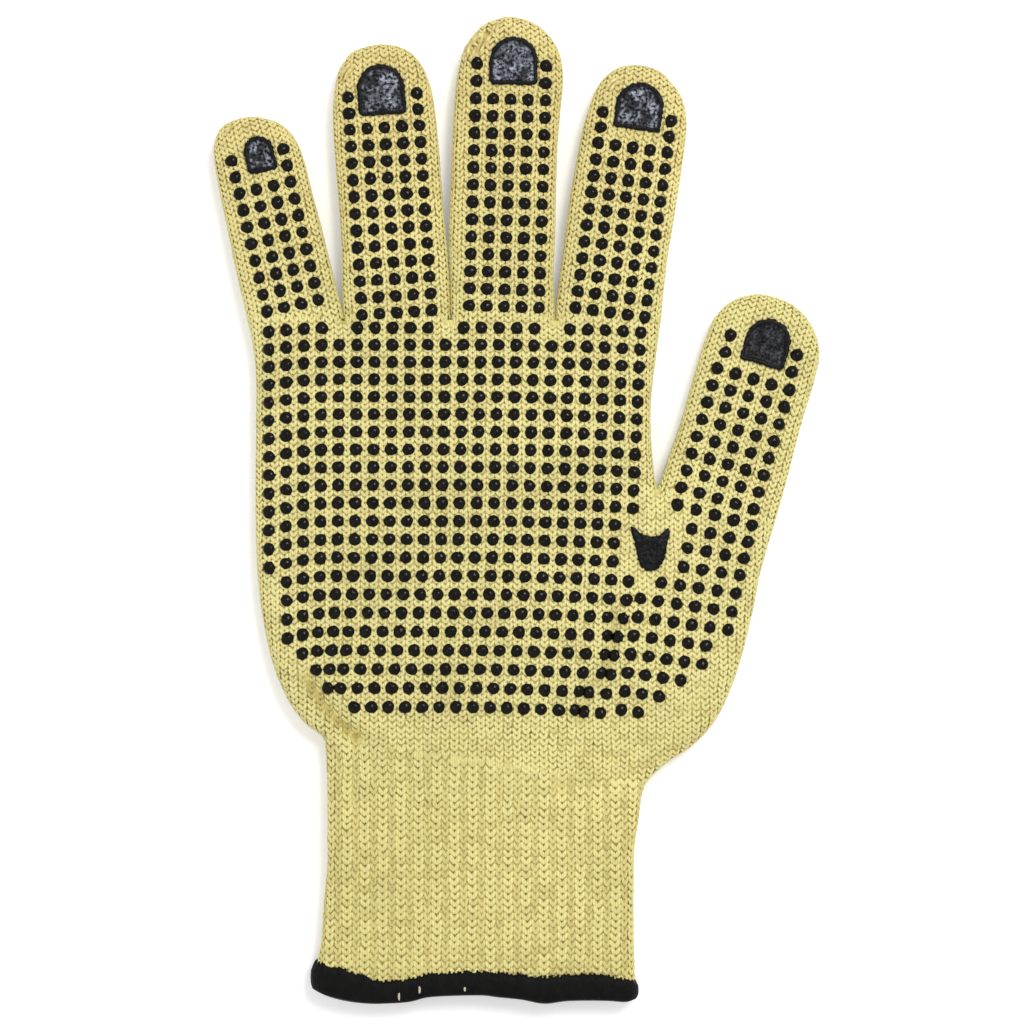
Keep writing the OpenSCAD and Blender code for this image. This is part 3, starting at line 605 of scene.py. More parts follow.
def stitch_pattern():
    """A stitch as two plump legs in a V, in a cell one wale wide and one course high."""
    points, faces, lifts, plies = [], [], [], []
    n = len(LEG_SECTION)
    for side in (-1, 1):
        rings = []
        for u, v, lift, half in LEG:
            section = LEG_SECTION if half else [(0.0, 0.0)]
            rings.append(range(len(points), len(points) + len(section)))
            for across, up in section:
                rise = lift * (0.35 + 0.65 * up) if half else lift * 0.3
                points.append((side * (u * WALE + across * half * LEG_NORMAL[0]),
                               v * COURSE + across * half * LEG_NORMAL[1], rise * YARN_LIFT - LEG_SET_IN))
                # The lift of a point on a leg's top sets the yarn's painted light and shade.
                lifts.append(lift * max(0.0, up) / LEG_SECTION[1][1] if half else 0.0)
                # The ply place sets the painted shade between the plies.
                plies.append(PLY_TURNS * (v - LEG[0][1]) / (LEG[-1][1] - LEG[0][1]) + PLY_SLANT * across)
        for a, b in zip(rings[:-1], rings[1:]):
            for i in range(n):
                j = (i + 1) % n
                corners = list(dict.fromkeys((a[i % len(a)], a[j % len(a)], b[j % len(b)], b[i % len(b)])))
                faces.append(corners if side < 0 else corners[::-1])
    mesh = mesh_of("stitch_pattern", points, faces)
    put(mesh, "FLOAT", lift=lifts, ply=plies)
    return new_object("stitch_pattern", mesh)


def new_tree(name, inputs):
    """A Geometry Nodes tree with named inputs: the tree, what it is given, its output and the identifiers."""
    tree = bpy.data.node_groups.new(name, "GeometryNodeTree")
    tree.interface.new_socket("Geometry", in_out="INPUT", socket_type="NodeSocketGeometry")
    ids = {label: tree.interface.new_socket(label, in_out="INPUT", socket_type=kind).identifier
           for label, kind in inputs}
    tree.interface.new_socket("Geometry", in_out="OUTPUT", socket_type="NodeSocketGeometry")
    return tree, tree.nodes.new("NodeGroupInput").outputs, tree.nodes.new("NodeGroupOutput"), ids


def named(tree, name, kind):
    return add(tree, "GeometryNodeInputNamedAttribute", {"Name": name}, data_type=kind).outputs[0]


def chance_near(tree, middle, jitter, seed):
    """A random value for each point, within jitter of the middle."""
    ends = [add(tree, "ShaderNodeMath", {0: middle, 1: jitter}, operation=way).outputs[0]
            for way in ("SUBTRACT", "ADD")]
    return add(tree, "FunctionNodeRandomValue", {2: ends[0], 3: ends[1], "Seed": seed},
               data_type="FLOAT").outputs[1]


def more(tree, value, amount):
    return add(tree, "ShaderNodeMath", {0: value, 1: amount}, operation="ADD").outputs[0]


def spun(tree, angle):
    """The turn of the cloth at a point, with a spin about its normal."""
    base = add(tree, "FunctionNodeEulerToRotation", {0: named(tree, "turn", "FLOAT_VECTOR")})
    spin = add(tree, "ShaderNodeCombineXYZ", {"Z": angle})
    own = add(tree, "FunctionNodeEulerToRotation", {0: spin.outputs[0]})
    return add(tree, "FunctionNodeRotateRotation", {0: base.outputs[0], 1: own.outputs[0]},
               rotation_space="LOCAL").outputs[0]


def scaled(tree, vector, factor):
    return add(tree, "ShaderNodeVectorMath", {0: vector, "Scale": factor}, operation="SCALE").outputs[0]


def in_material(tree, geometry, finish):
    return add(tree, "GeometryNodeSetMaterial", {"Geometry": geometry, "Material": finish}).outputs[0]


def smoothed(tree, geometry, result):
    """Shades a tree's geometry smooth and gives it out."""
    smooth = add(tree, "GeometryNodeSetShadeSmooth", {"Geometry": geometry})
    tree.links.new(smooth.outputs[0], result.inputs[0])


def knit_tree():
    """A stitch on every marked point of the cloth, turned and stretched with it, and the cloth behind."""
    tree, given, result, ids = new_tree("Knit", [
        ("Stitch", "NodeSocketObject"), ("Yarn", "NodeSocketMaterial"), ("Backing", "NodeSocketMaterial"),
        ("Set back", "NodeSocketFloat"), ("Turn jitter", "NodeSocketFloat"),
        ("Size jitter", "NodeSocketFloat"), ("Seed", "NodeSocketInt")])
    seed, cloth = given["Seed"], given["Geometry"]
    size = chance_near(tree, 1.0, given["Size jitter"], more(tree, seed, 11.0))
    pattern = add(tree, "GeometryNodeObjectInfo", {"Object": given["Stitch"]})
    laid = add(tree, "GeometryNodeInstanceOnPoints", {
        "Points": cloth, "Selection": named(tree, "stitch", "BOOLEAN"),
        "Instance": pattern.outputs["Geometry"],
        "Rotation": spun(tree, chance_near(tree, 0.0, given["Turn jitter"], seed)),
        "Scale": scaled(tree, named(tree, "stretch", "FLOAT_VECTOR"), size)})
    tint = add(tree, "FunctionNodeRandomValue", {"Seed": more(tree, seed, 23.0)}, data_type="FLOAT").outputs[1]
    tinted = add(tree, "GeometryNodeStoreNamedAttribute", {
        "Geometry": laid.outputs[0], "Name": "tint", "Value": tint}, data_type="FLOAT", domain="INSTANCE")
    real = add(tree, "GeometryNodeRealizeInstances", {"Geometry": tinted.outputs[0]})
    back = scaled(tree, add(tree, "GeometryNodeInputNormal").outputs[0], given["Set back"])
    set_back = add(tree, "GeometryNodeSetPosition", {"Geometry": cloth, "Offset": back})
    both = tree.nodes.new("GeometryNodeJoinGeometry")
    tree.links.new(in_material(tree, real.outputs[0], given["Yarn"]), both.inputs[0])
    tree.links.new(in_material(tree, set_back.outputs[0], given["Backing"]), both.inputs[0])
    smoothed(tree, both.outputs[0], result)
    return tree, ids


def made_plain(made, tree, ids, inputs):
    """Runs a tree on an object and keeps the result as its plain mesh."""
    modifier = made.modifiers.new(tree.name, "NODES")
    modifier.node_group = tree
    for label, value in inputs.items():
        modifier[ids[label]] = value
    bpy.context.view_layer.update()
    evaluated = made.evaluated_get(bpy.context.evaluated_depsgraph_get())
    mesh = bpy.data.meshes.new_from_object(evaluated)
    made.modifiers.remove(modifier)
    used = made.data
    made.data = mesh
    bpy.data.meshes.remove(used)
    for label in ("stitch", "turn", "stretch"):
        if label in mesh.attributes:
            mesh.attributes.remove(mesh.attributes[label])
    return made


def turns(x_axis, y_axis):
    """Euler angles of the frames whose X follows x_axis and whose Z leaves the cloth."""
    z, x = unit(np.cross(x_axis, y_axis)), unit(x_axis)
    y = np.cross(z, x)
    return np.column_stack([np.arctan2(y[:, 2], z[:, 2]), -np.arcsin(np.clip(x[:, 2], -1, 1)),
                            np.arctan2(x[:, 1], x[:, 0])])


def stitch_grid(region):
    """The grid of stitch places over a region's flat cloth, the stitches' widths there, and how open it is."""
    corners = region.polygon - region.origin
    u, v = corners @ region.across / WALE, corners @ region.along / region.course
    i, j = np.meshgrid(np.arange(int(u.min()) - 3, int(u.max()) + 4),
                       np.arange(int(v.min()) - 3, int(v.max()) + 4), indexing="ij")
    places = (region.origin + ((i + 0.5) * WALE)[..., None] * region.across
              + ((j + 0.5) * region.course)[..., None] * region.along)
    x, y = places[..., 0], places[..., 1]
    chance = np.random.default_rng(SEED + len(region.name))
    wander = np.stack([np.sin(y / 2.9 + np.sin(x / 6.3) * 2) + np.sin(y / 1.7 + x / 4.1),
                       np.sin(x / 3.3 + np.sin(y / 7.1) * 2) + 0.7 * np.sin(x / 1.9 - y / 5.3)], axis=-1)
    places = places + UNEVEN * wander + chance.normal(0, STRAY, places.shape)
    # How open a place is sets painted shade in the materials: in its hole, and on the cuff's sunken wales
    # where it is 0.
    if region.ribbing:
        return places, np.where(i % 2, 1 - region.ribbing, 1 + region.ribbing), np.where(i % 2, 0.0, 1.0)
    return places, np.full(i.shape, HAND_WIDTH), chance.uniform(0.45, 0.95, i.shape)


def put(mesh, kind, **layers):
    """Stores values on a mesh's points."""
    for label, value in layers.items():
        data = mesh.attributes.new(label, kind, "POINT").data
        flat = np.ravel(value).astype(bool if kind == "BOOLEAN" else np.float32)
        data.foreach_set("vector" if kind == "FLOAT_VECTOR" else "value", flat)


def knit_piece(name, region, keep, sides=("front", "back"), inner=0.0):
    """Cloth with its stitches over the part of a region that keep picks, on both sides of the glove.
    With inner, it is the inside of the cloth, that far in."""
    grid, widths, holes = stitch_grid(region)
    shape = grid.shape[:2]
    q = grid.reshape(-1, 2)
    near = region.within_limits(q, False) & keep(q, SPARE)
    depth = np.full(len(q), -99.0)
    inwards = np.zeros((len(q), 2))
    depth[near], inwards[near] = region.depth(q[near])
    used = near & (depth > -OVERHANG - 1.3 * WALE)
    half_cell = (np.abs(inwards @ region.across) * WALE + np.abs(inwards @ region.along) * region.course) / 2
    stitched = used & (depth > -OVERHANG - half_cell) & region.within_limits(q, True) & keep(q, 0.0)
    drawn_in = np.where(stitched, np.clip(EDGE_KEEP - OVERHANG - depth, 0, None), 0)
    q = q + drawn_in[:, None] * inwards
    points, faces, turn, stretch, marks, fold = [], [], [], [], [], []
    for side in sides:
        front = side == "front"
        place = np.full(len(q), -1)
        place[used] = np.arange(used.sum()) + sum(map(len, points))
        a = q[used]
        step = 0.3
        x_axis, y_axis = [(region.lay(a + ahead, front) - region.lay(a - ahead, front)) / (2 * step)
                          for ahead in (region.across * (step if front else -step), region.along * step)]
        points.append(region.lay(a, front) - inner * unit(np.cross(x_axis, y_axis)))
        turn.append(turns(-x_axis if inner else x_axis, y_axis))
        wide = widths.ravel()[used]
        stretch.append(np.column_stack([
            np.linalg.norm(x_axis, axis=1) * wide, np.linalg.norm(y_axis, axis=1) * region.course / COURSE,
            np.where(wide == 1 - region.ribbing, LOW_WALE, 1)]).clip(0.5, 1.5))
        # Painted shade at the bottom of creases, on the palm side only.
        fold.append(fold_shade_depth(a) * front)
        marks.append(stitched[used])
        at = place.reshape(shape)
        ok = (depth > -OVERHANG).reshape(shape)
        cells = np.stack([at[:-1, :-1], at[1:, :-1], at[1:, 1:], at[:-1, 1:]], axis=-1).reshape(-1, 4)
        any_in = (ok[:-1, :-1] | ok[1:, :-1] | ok[1:, 1:] | ok[:-1, 1:]).reshape(-1)
        cells = cells[(cells >= 0).all(axis=1) & any_in]
        corner = np.vstack(points)[cells]
        across = np.linalg.norm(corner[:, [0, 1]] - corner[:, [2, 3]], axis=2).max(axis=1)
        cells = cells[across < 2.2 * WALE]
        faces += (cells if front == (inner == 0) else cells[:, ::-1]).tolist()
    mesh = mesh_of(name, np.vstack(points), faces)
    put(mesh, "BOOLEAN", stitch=np.concatenate(marks))
    put(mesh, "FLOAT_VECTOR", turn=np.vstack(turn), stretch=np.vstack(stretch))
    # open and fold carry painted shade: open darkens the holes and the sunken wales, fold the bottom of
    # creases.
    put(mesh, "FLOAT", open=np.tile(holes.ravel()[used], len(sides)), fold=np.concatenate(fold))
    made = made_plain(new_object(name, mesh), KNIT, KNIT_IDS, {
        "Stitch": PATTERN, "Yarn": YARN, "Backing": BACKING, "Set back": -SET_BACK * MM, "Turn jitter": 0.13,
        "Size jitter": 0.09, "Seed": SEED + len(bpy.data.objects)})
    return made


PATTERN = stitch_pattern()
KNIT, KNIT_IDS = knit_tree()


# Grip dots

DOT_RADIUS = 1.61
DOT_HEIGHT = 0.95
DOT_SIDES = 16
DOT_RINGS = [(1.0, -0.35), (1.0, 0.14), (0.86, 0.52), (0.48, 0.88)]
DOT_KINDS = 7
DOT_SEAT = 0.22             # how far above the cloth a dot's foot lies
DOT_GAP = 3.55              # least distance of the dots
FOLD_GAP = 2.5              # and where the palm folds
BALL_X = 29.6               # where the rows on the ball of the thumb start
ROW_BOW, BOW_OVER = 1.49, 50.0      # the palm's rows hang by this much, that far from the middle
FOLD_TOP_Y, FOLD_REACH = -27.0, 5.0     # where the palm's fold starts, and how far off it draws dots in
FOLD_DRAW = (1.1, 1.2)      # how far it draws in the dots to its left and right
FOLD_LAP = 1.7              # and how far the ball of the thumb lies over it at its foot


def dot_kinds():
    """Printed dots: domes whose edges run a little into the stitches, each kind different."""
    chance = np.random.default_rng(SEED)
    kinds = bpy.data.collections.new("dot_kinds")
    scene.collection.children.link(kinds)
    angle = np.arange(DOT_SIDES) * 2 * math.pi / DOT_SIDES
    for kind in range(DOT_KINDS):
        wobble = 1 + 0.035 * np.cos(2 * angle + chance.uniform(0, 6)) + 0.03 * np.cos(
            3 * angle + chance.uniform(0, 6)) + chance.uniform(-0.03, 0.03, DOT_SIDES)
        points = []
        for share, rise in DOT_RINGS:
            edge = 1 + (wobble - 1) * share**2
            points += np.column_stack([
                DOT_RADIUS * share * edge * np.cos(angle), DOT_RADIUS * share * edge * np.sin(angle),
                np.full(DOT_SIDES, DOT_HEIGHT * rise)]).tolist()
        points.append((0, 0, DOT_HEIGHT))
        mesh = mesh_of("dot_kind", points, domed(DOT_SIDES, len(DOT_RINGS)))
        kinds.objects.link(bpy.data.objects.new("dot_kind_%d" % kind, mesh))
    return kinds


def dots_tree():
    """One of the kinds of dot on every point, turned with the cloth and spun at random."""
    tree, given, result, ids = new_tree("Dots", [
        ("Kinds", "NodeSocketCollection"), ("Material", "NodeSocketMaterial"),
        ("Size jitter", "NodeSocketFloat"), ("Seed", "NodeSocketInt")])
    seed = given["Seed"]
    spin = add(tree, "FunctionNodeRandomValue", {3: 2 * math.pi, "Seed": seed}, data_type="FLOAT").outputs[1]
    which = add(tree, "FunctionNodeRandomValue", {5: DOT_KINDS - 1, "Seed": seed}, data_type="INT").outputs[2]
    kinds = add(tree, "GeometryNodeCollectionInfo", {
        "Collection": given["Kinds"], "Separate Children": True, "Reset Children": True})
    laid = add(tree, "GeometryNodeInstanceOnPoints", {
        "Points": given["Geometry"], "Instance": kinds.outputs[0], "Pick Instance": True,
        "Instance Index": which, "Rotation": spun(tree, spin),
        "Scale": chance_near(tree, 1.0, given["Size jitter"], seed)})
    real = add(tree, "GeometryNodeRealizeInstances", {"Geometry": laid.outputs[0]})
    smoothed(tree, in_material(tree, real.outputs[0], given["Material"]), result)
    return tree, ids


KINDS = dot_kinds()
DOT_TREE, DOT_IDS = dots_tree()


def dot_places(*nodes):
    """The middles of the dots of CAD nodes, in millimetres, seen from above."""
    found = []
    for node in nodes:
        shape = bmesh.new()
        shape.from_mesh(frame["nodes"][node].data)
        bmesh.ops.remove_doubles(shape, verts=shape.verts, dist=0.01 * MM)
        seen = set()
        for start in shape.verts:
            if start in seen:
                continue
            island, rest = [], [start]
            seen.add(start)
            while rest:
                vertex = rest.pop()
                island.append(vertex.co[:2])
                for edge in vertex.link_edges:
                    other = edge.other_vert(vertex)
                    if other not in seen:
                        seen.add(other)
                        rest.append(other)
            island = np.array(island) / MM
            found.append((island.min(0) + island.max(0)) / 2)
        shape.free()
    return np.array(found)


def settled(places):
    """The palm's dots as its cloth lies: rows bowed a little, level with the rows on the ball of the thumb,
    and drawn together in the fold beside it."""
    x, y = places.T
    on_ball = (x > np.where(y > -18, 34.0, BALL_X + 0.07 * np.minimum(y + 21.9, 0))) & (y < CROTCH[1])
    up = np.where(on_ball, -0.87 + (1.14 * x + y) / 50,
                  0.73 - ROW_BOW * (y / BOW_OVER) ** 2 + 0.45 * np.clip((x - 8) / 16, 0, 1))
    aside = np.where(on_ball, 0.8 * np.clip((x - 35) / 20, 0, 1), 0.0)
    fold = np.interp(-y, [-along for _, along in PALM_FOLD], [across for across, _ in PALM_FOLD])
    in_fold, low = [np.clip((FOLD_TOP_Y - y) / length, 0, 1) for length in (4, 24)]
    from_fold = x - fold
    aside += in_fold * np.where(
        from_fold > 0, -FOLD_DRAW[1] * np.exp(-from_fold / FOLD_REACH) - FOLD_LAP * low**2,
        FOLD_DRAW[0] * np.exp(np.minimum(from_fold, 0) / FOLD_REACH))
    return places + np.column_stack([aside, up])


def spread(places, least):
    """Dots that lie closer than least move apart a little."""
    places = places.copy()
    for i in range(len(places)):
        gap = places - places[i]
        d = np.linalg.norm(gap, axis=1)
        for j in np.nonzero((d > 1e-6) & (d < least))[0]:
            push = gap[j] / d[j] * (least - d[j]) / 2
            places[j] += push
            places[i] -= push
    return places


def dot_piece(name, region, places, least=DOT_GAP):
    """Printed dots at places of a region, no closer than least."""
    places = spread(places, least)

    def seated(xy):
        return np.column_stack([xy, region.height(xy)])

    axes = [seated(places + step) - seated(places - step) for step in (np.array([0.6, 0]), np.array([0, 0.6]))]
    mesh = mesh_of(name, seated(places) + np.array([0, 0, DOT_SEAT]), [])
    put(mesh, "FLOAT_VECTOR", turn=turns(*axes))
    made = made_plain(new_object(name, mesh), DOT_TREE, DOT_IDS, {
        "Kinds": KINDS, "Material": DOTS, "Size jitter": 0.04, "Seed": SEED + len(bpy.data.objects)})
    return made


# Knitted pieces of the hand, each with its dots. A piece spans one fold, and ends midway between folds.

BEND = 7.0                  # half length of the zone set about a fold
ROOT_BEND = 12.0            # length of the zone above a finger's root line
TOP_BEND = 5.4              # and most length of the zone above its other folds
ROW_STRETCH = {"little": 1.03, "ring": 1.04, "index": 1.06}     # rows of dots lie this much further apart
PAD_ROWS = 8.0              # length of the rows beside a pad, which keep their places


def metres(xy, z=MID_Z):
    return (xy[0] * MM, xy[1] * MM, z * MM)


def between(region, low, high):
    """Picks points between two distances along a region, with some to spare on each side."""
    def keep(q, spare):
        v = (q - region.origin) @ region.along
        return (v > low - spare) & (v <= high + spare)
    return keep


def bend(piece, region, a, b, low, high):
    """Bakes a piece's transform into its mesh; the region, bodies and length given are not used."""
    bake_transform(piece)


def finger_pieces(name, region, sections, folds):
    """The cloth and dots of a finger: one piece for each fold, named for the section that it ends in."""
    places = np.vstack([dot_places("%s_%s_dots" % (name, s)) for s in sections])
    along = (places - region.origin) @ region.along
    down = np.clip(along.max() - PAD_ROWS - along, 0, None) * (ROW_STRETCH.get(name, 1.0) - 1)
    places, along = places - down[:, None] * region.along, along - down
    ends = [-50.0] + [(a + b) / 2 for a, b in zip(folds[:-1], folds[1:])] + [200.0]
    bodies = ["palm"] + ["%s_%s" % (name, s) for s in sections]
    for k, section in enumerate(sections):
        low, high = ends[k], ends[k + 1]
        reach = min(BEND, 0.47 * min(np.diff(folds))) if len(folds) > 1 else BEND
        zone = (folds[k] - reach, folds[k] + min(reach, TOP_BEND))
        if k == 0:
            zone = (0.2, min(ROOT_BEND, high - SPARE - 0.2))
        here = (along > low) & (along <= high)
        cloth = knit_piece("%s_%s_knit" % (name, section), region, between(region, low, high))
        printed = dot_piece("%s_%s_printed_dots" % (name, section), region, places[here])
        for piece, node in ((cloth, "%s_%s"), (printed, "%s_%s_dots")):
            bend(piece, region, bodies[k], bodies[k + 1], *zone)
            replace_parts(piece, node % (name, section))


def fold_place(name, fold):
    """How far along a finger one of its folds lies."""
    return (HINGES["%s_%s_fold" % (name, fold)] - regions[name].origin) @ regions[name].along


for name in FINGERS:
    finger_pieces(name, regions[name], ("base", "middle", "tip"),
                  [0.0, fold_place(name, "middle"), fold_place(name, "tip")])
finger_pieces("thumb", regions["thumb"], ("base", "tip"), [0.0, fold_place("thumb", "tip")])

# The palm, in two heights and two sides, and the cloth about the wrist
WRIST_BEND = 9.0            # half length of the cloth about the wrist that has pieces of its own
CUFF_TOP = 12.0             # the cuff's own piece starts this far below the wrist


def wrist_side(way, line):
    """Picks points above (way 1) or below (way -1) a line that far above the wrist."""
    def keep(q, spare):
        return way * ((q - WRIST_LEFT) @ WRIST_UP - line) > -spare
    return keep


palm_keep, wrist_keep = wrist_side(1, WRIST_BEND), wrist_side(-1, WRIST_BEND)
cuff_top_keep, cuff_keep = wrist_side(1, -CUFF_TOP), wrist_side(-1, -CUFF_TOP)
for side in ("front", "back"):
    for node in ("upper_palm", "lower_palm"):
        cloth = knit_piece("%s_knit_%s" % (node, side), regions[node], palm_keep, (side,))
        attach(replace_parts(cloth, node), "palm")

for piece_name, region, keep, node in (("heel_knit", "lower_palm", wrist_keep, "lower_palm"),
                                       ("wrist_knit", "cuff", cuff_top_keep, "cuff_tube")):
    piece = knit_piece(piece_name, regions[region], keep)
    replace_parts(piece, node)
    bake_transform(piece)
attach(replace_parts(knit_piece("cuff_knit", regions["cuff"], cuff_keep), "cuff_tube"), "cuff")

MOUTH_DEPTH = 24.0          # how far up the inside of the cuff shows
WALL = 1.1                  # thickness of the cuff's cloth
lining = knit_piece("cuff_lining_knit", regions["cuff"],
                    lambda q, spare: q[:, 1] < CLOTH_END_Y + MOUTH_DEPTH + spare, inner=WALL)
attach(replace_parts(lining, "cuff_tube"), "cuff")

for node in ("upper_palm", "lower_palm"):
    printed = dot_piece(node + "_printed_dots", regions[node], settled(dot_places(node + "_dots")), FOLD_GAP)
    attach(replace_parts(printed, node + "_dots"), "palm")


# Pads and patch

def outline_resampled(points, count):
    """A closed outline with evenly spaced points."""
    p = np.vstack([points, points[:1]])
    run = np.concatenate([[0], np.cumsum(np.linalg.norm(np.diff(p, axis=0), axis=1))])
    at = np.linspace(0, run[-1], count, endpoint=False)
    return np.column_stack([np.interp(at, run, p[:, k]) for k in range(2)])


def arc(cx, cy, radius, start, end, count=16):
    a = np.radians(np.linspace(start, end, count))
    return np.column_stack([cx + radius * np.cos(a), cy + radius * np.sin(a)])


def pad_outline(width, length, corner):
    """An arched top and a straight end with rounded corners; the arch's top is at the origin."""
    w = width / 2
    return np.vstack([
        arc(0, -w, w, 0, 180, 28), arc(-w + corner, -length + corner, corner, 180, 270, 6),
        arc(w - corner, -length + corner, corner, 270, 360, 6)])


# Steps from the edge of a pad inwards: distance in, height, and how far the step belongs to the rim
PAD_STEPS = [(0.0, -0.4, 1), (0.0, 0.55, 1), (0.16, 0.85, 1), (0.45, 0.98, 1), (0.85, 0.98, 1),
             (1.15, 0.78, 0.8), (1.35, 0.66, 0.2)]
PATCH_STEPS = [(0.0, -0.4, 1), (0.0, 0.4, 1), (0.18, 0.7, 1), (0.5, 0.86, 1), (1.0, 0.92, 1), (1.6, 0.9, 1)]
PANEL_RINGS = 14
PAD_SEAT = 0.2              # how far above the cloth a pad's foot lies
PIT_RADIUS, PIT_DEPTH = 0.38, 0.3


def printed_pad(name, region, outline, turn, at, steps, finish, grain, pits):
    """A thick printed pad on the cloth: stepped rim, then a grained panel with pinholes."""
    chance = np.random.default_rng(SEED + int(abs(at[0]) * 10))
    edge = outline_resampled(outline, 84)
    middle = (edge.min(0) + edge.max(0)) / 2
    ray = edge - middle
    length = np.linalg.norm(ray, axis=1)
    ray /= length[:, None]
    ragged = chance.uniform(-0.2, 0.2, len(edge))
    rings, rim = [], []
    for inset, z, belongs in steps:
        flat = middle + ray * (length + ragged * max(0.0, 1 - inset) - inset)[:, None]
        rings.append(np.column_stack([flat, np.full(len(edge), z)]))
        rim.append(np.full(len(edge), belongs))
    holes = middle + chance.uniform(-0.62, 0.62, (pits, 2)) * (edge.max(0) - edge.min(0)) / 2
    for k in range(1, PANEL_RINGS):
        share = 1 - k / PANEL_RINGS
        flat = middle + ray * ((length - steps[-1][0]) * share)[:, None]
        z = np.full(len(edge), steps[-1][1])
        for i, (x, y) in enumerate(flat):
            z[i] += grain * noise.turbulence(Vector((x * 0.9 + at[0], y * 0.9, 1.7)), 3, False)
        pitted = np.zeros(len(edge))
        for hole in holes:
            pitted = np.maximum(pitted, np.exp(-(np.linalg.norm(flat - hole, axis=1) / PIT_RADIUS) ** 2))
        rings.append(np.column_stack([flat, z - PIT_DEPTH * pitted]))
        rim.append(pitted if pits else np.ones(len(edge)))
    points = np.vstack(rings + [[[*middle, steps[-1][1]]]])
    a = math.radians(turn)
    across, along = np.array([math.cos(a), -math.sin(a)]), np.array([math.sin(a), math.cos(a)])
    xy = np.array(at) + points[:, :1] * across + points[:, 1:2] * along
    points = np.column_stack([xy, region.height(xy) + PAD_SEAT + points[:, 2]])
    made = finished(name, points, domed(len(edge), len(rings)), finish)
    put(made.data, "FLOAT", rim=np.concatenate(rim + [[0.0 if pits else 1.0]]))
    return made


# Each pad: place of its arch's top aside of and along the finger, width, length
PAD_PLACES = {
    "little": (0.6, 46.6, 7.6, 9.2), "ring": (-0.2, 63.8, 12.1, 12.8), "middle": (0.5, 70.6, 12.3, 12.0),
    "index": (0.3, 59.6, 12.1, 12.0), "thumb": (0.75, 49.6, 11.5, 11.9)}
PAD_CORNER, PAD_GRAIN, PAD_PITS = 1.2, 0.25, 9
for name, (aside, along, width, length) in PAD_PLACES.items():
    region = regions[name]
    lean, finish = (THUMB_LEAN, THUMB_PADS) if name == "thumb" else (FINGERS[name][2], PADS)
    pad = printed_pad(name + "_printed_pad", region, pad_outline(width, length, PAD_CORNER), lean,
                      region.origin + aside * region.across + along * region.along, PAD_STEPS, finish,
                      PAD_GRAIN, PAD_PITS)
    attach(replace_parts(pad, name + "_pad"), name + "_tip")

PATCH_OUTLINE = smooth_line([
    (0.2, 8.7), (2.2, 9.1), (3.5, 10.2), (4.6, 10.9), (5.1, 10.2), (4.6, 7.6), (3.9, 4.2), (2.5, 1.2),
    (0, 0.0), (-2.3, 1.2), (-3.4, 4.2), (-4.0, 7.6), (-4.8, 10.0), (-5.0, 11.3), (-4.0, 11.2), (-2.4, 9.7),
    (0.2, 8.7)], 0.3)[:-1]
PATCH_PLACE, PATCH_GRAIN = (33.8, -15.6), 0.2
patch = printed_pad("crotch_printed_patch", regions["lower_palm"], PATCH_OUTLINE[::-1], 0, PATCH_PLACE,
                    PATCH_STEPS, PATCH, PATCH_GRAIN, 0)
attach(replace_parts(patch, "crotch_patch"), "palm")


# Hem

HEM_THREADS = 320           # turns of thread round the mouth
HEM_NARROWING = 0.9         # the hem's upper edge is this much nearer in at its ends
HEM_LEFT, HEM_RIGHT = -51.0, 30.0
THREAD_RIDGE = [0.0, 0.09, 0.125, 0.09]     # outline across one thread
# Across the hem from its outer top edge, round the mouth and up inside: share down, distance out
HEM_STEPS = [
    (0.0, -0.25), (0.03, 0.18), (0.12, 0.42), (0.35, 0.55), (0.6, 0.56), (0.8, 0.48), (0.93, 0.2),
    (1.0, -0.45), (0.97, -1.15), (0.85, -1.6), (0.5, -1.75), (0.1, -1.7), (0.0, -1.3)]


def hem():
    """Black thread wound closely over the end of the cloth, all round the mouth."""
    chance = np.random.default_rng(SEED)
    region = regions["cuff"]
    top, bottom = smooth_line(HEM_TOP), smooth_line(HEM_BOTTOM)
    per_thread = len(THREAD_RIDGE)
    count = HEM_THREADS * per_thread
    # Round the mouth: half the turns on the palm side, half on the back
    share = np.arange(count) / count
    front = share < 0.5
    span = HEM_RIGHT - HEM_LEFT + 2 * (ROLL_RUN[-1] - EDGE_ROLL)
    run = np.where(front, share, 1 - share) * 2 * span
    from_end = np.minimum(run, span - run)
    inward = np.where(from_end < ROLL_RUN[-1], np.interp(from_end, ROLL_RUN, ROLL_IN),
                      from_end - ROLL_RUN[-1] + EDGE_ROLL)
    rise = np.interp(from_end, ROLL_RUN, ROLL_RISE) * mouth_taper(CLOTH_END_Y)
    x = np.where(run < span / 2, HEM_LEFT + inward, HEM_RIGHT - inward)
    z = np.where(front, MID_Z + rise, MID_Z - rise)
    ahead = unit(np.column_stack([np.roll(x, -1) - np.roll(x, 1), np.roll(z, -1) - np.roll(z, 1)]))
    out = np.column_stack([-ahead[:, 1], ahead[:, 0]])
    y_top = np.interp(x, top[:, 0], top[:, 1])
    y_bottom = np.interp(x, bottom[:, 0], bottom[:, 1])
    towards_middle = np.where(run < span / 2, 1.0, -1.0) * np.clip(1 - from_end / 9.0, 0, 1)
    thread = np.arange(count) // per_thread
    ragged = chance.uniform(-0.45, 0.45, HEM_THREADS)[thread]
    ridge = np.tile(THREAD_RIDGE, HEM_THREADS) + chance.uniform(-0.025, 0.025, HEM_THREADS)[thread]
    points = []
    for down, outward in HEM_STEPS:
        y = y_top + (y_bottom - y_top) * down + ragged * max(0.0, 1 - 5 * down)
        reach = outward + (ridge if outward > -1 else -ridge) + YARN_LIFT * (outward > -0.4)
        drawn = HEM_NARROWING * max(0.0, 1 - 2.6 * down) * towards_middle
        points.append(np.column_stack([x + drawn + out[:, 0] * reach, y, z + out[:, 1] * reach]))
    faces = [(a, d, c, b) for a, b, c, d in between_rings(count, len(HEM_STEPS), closed=True)]
    return finished("hem_threads", np.vstack(points), faces, THREAD)


hem_threads = hem()
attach(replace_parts(hem_threads, "hem_overlock"), "cuff")


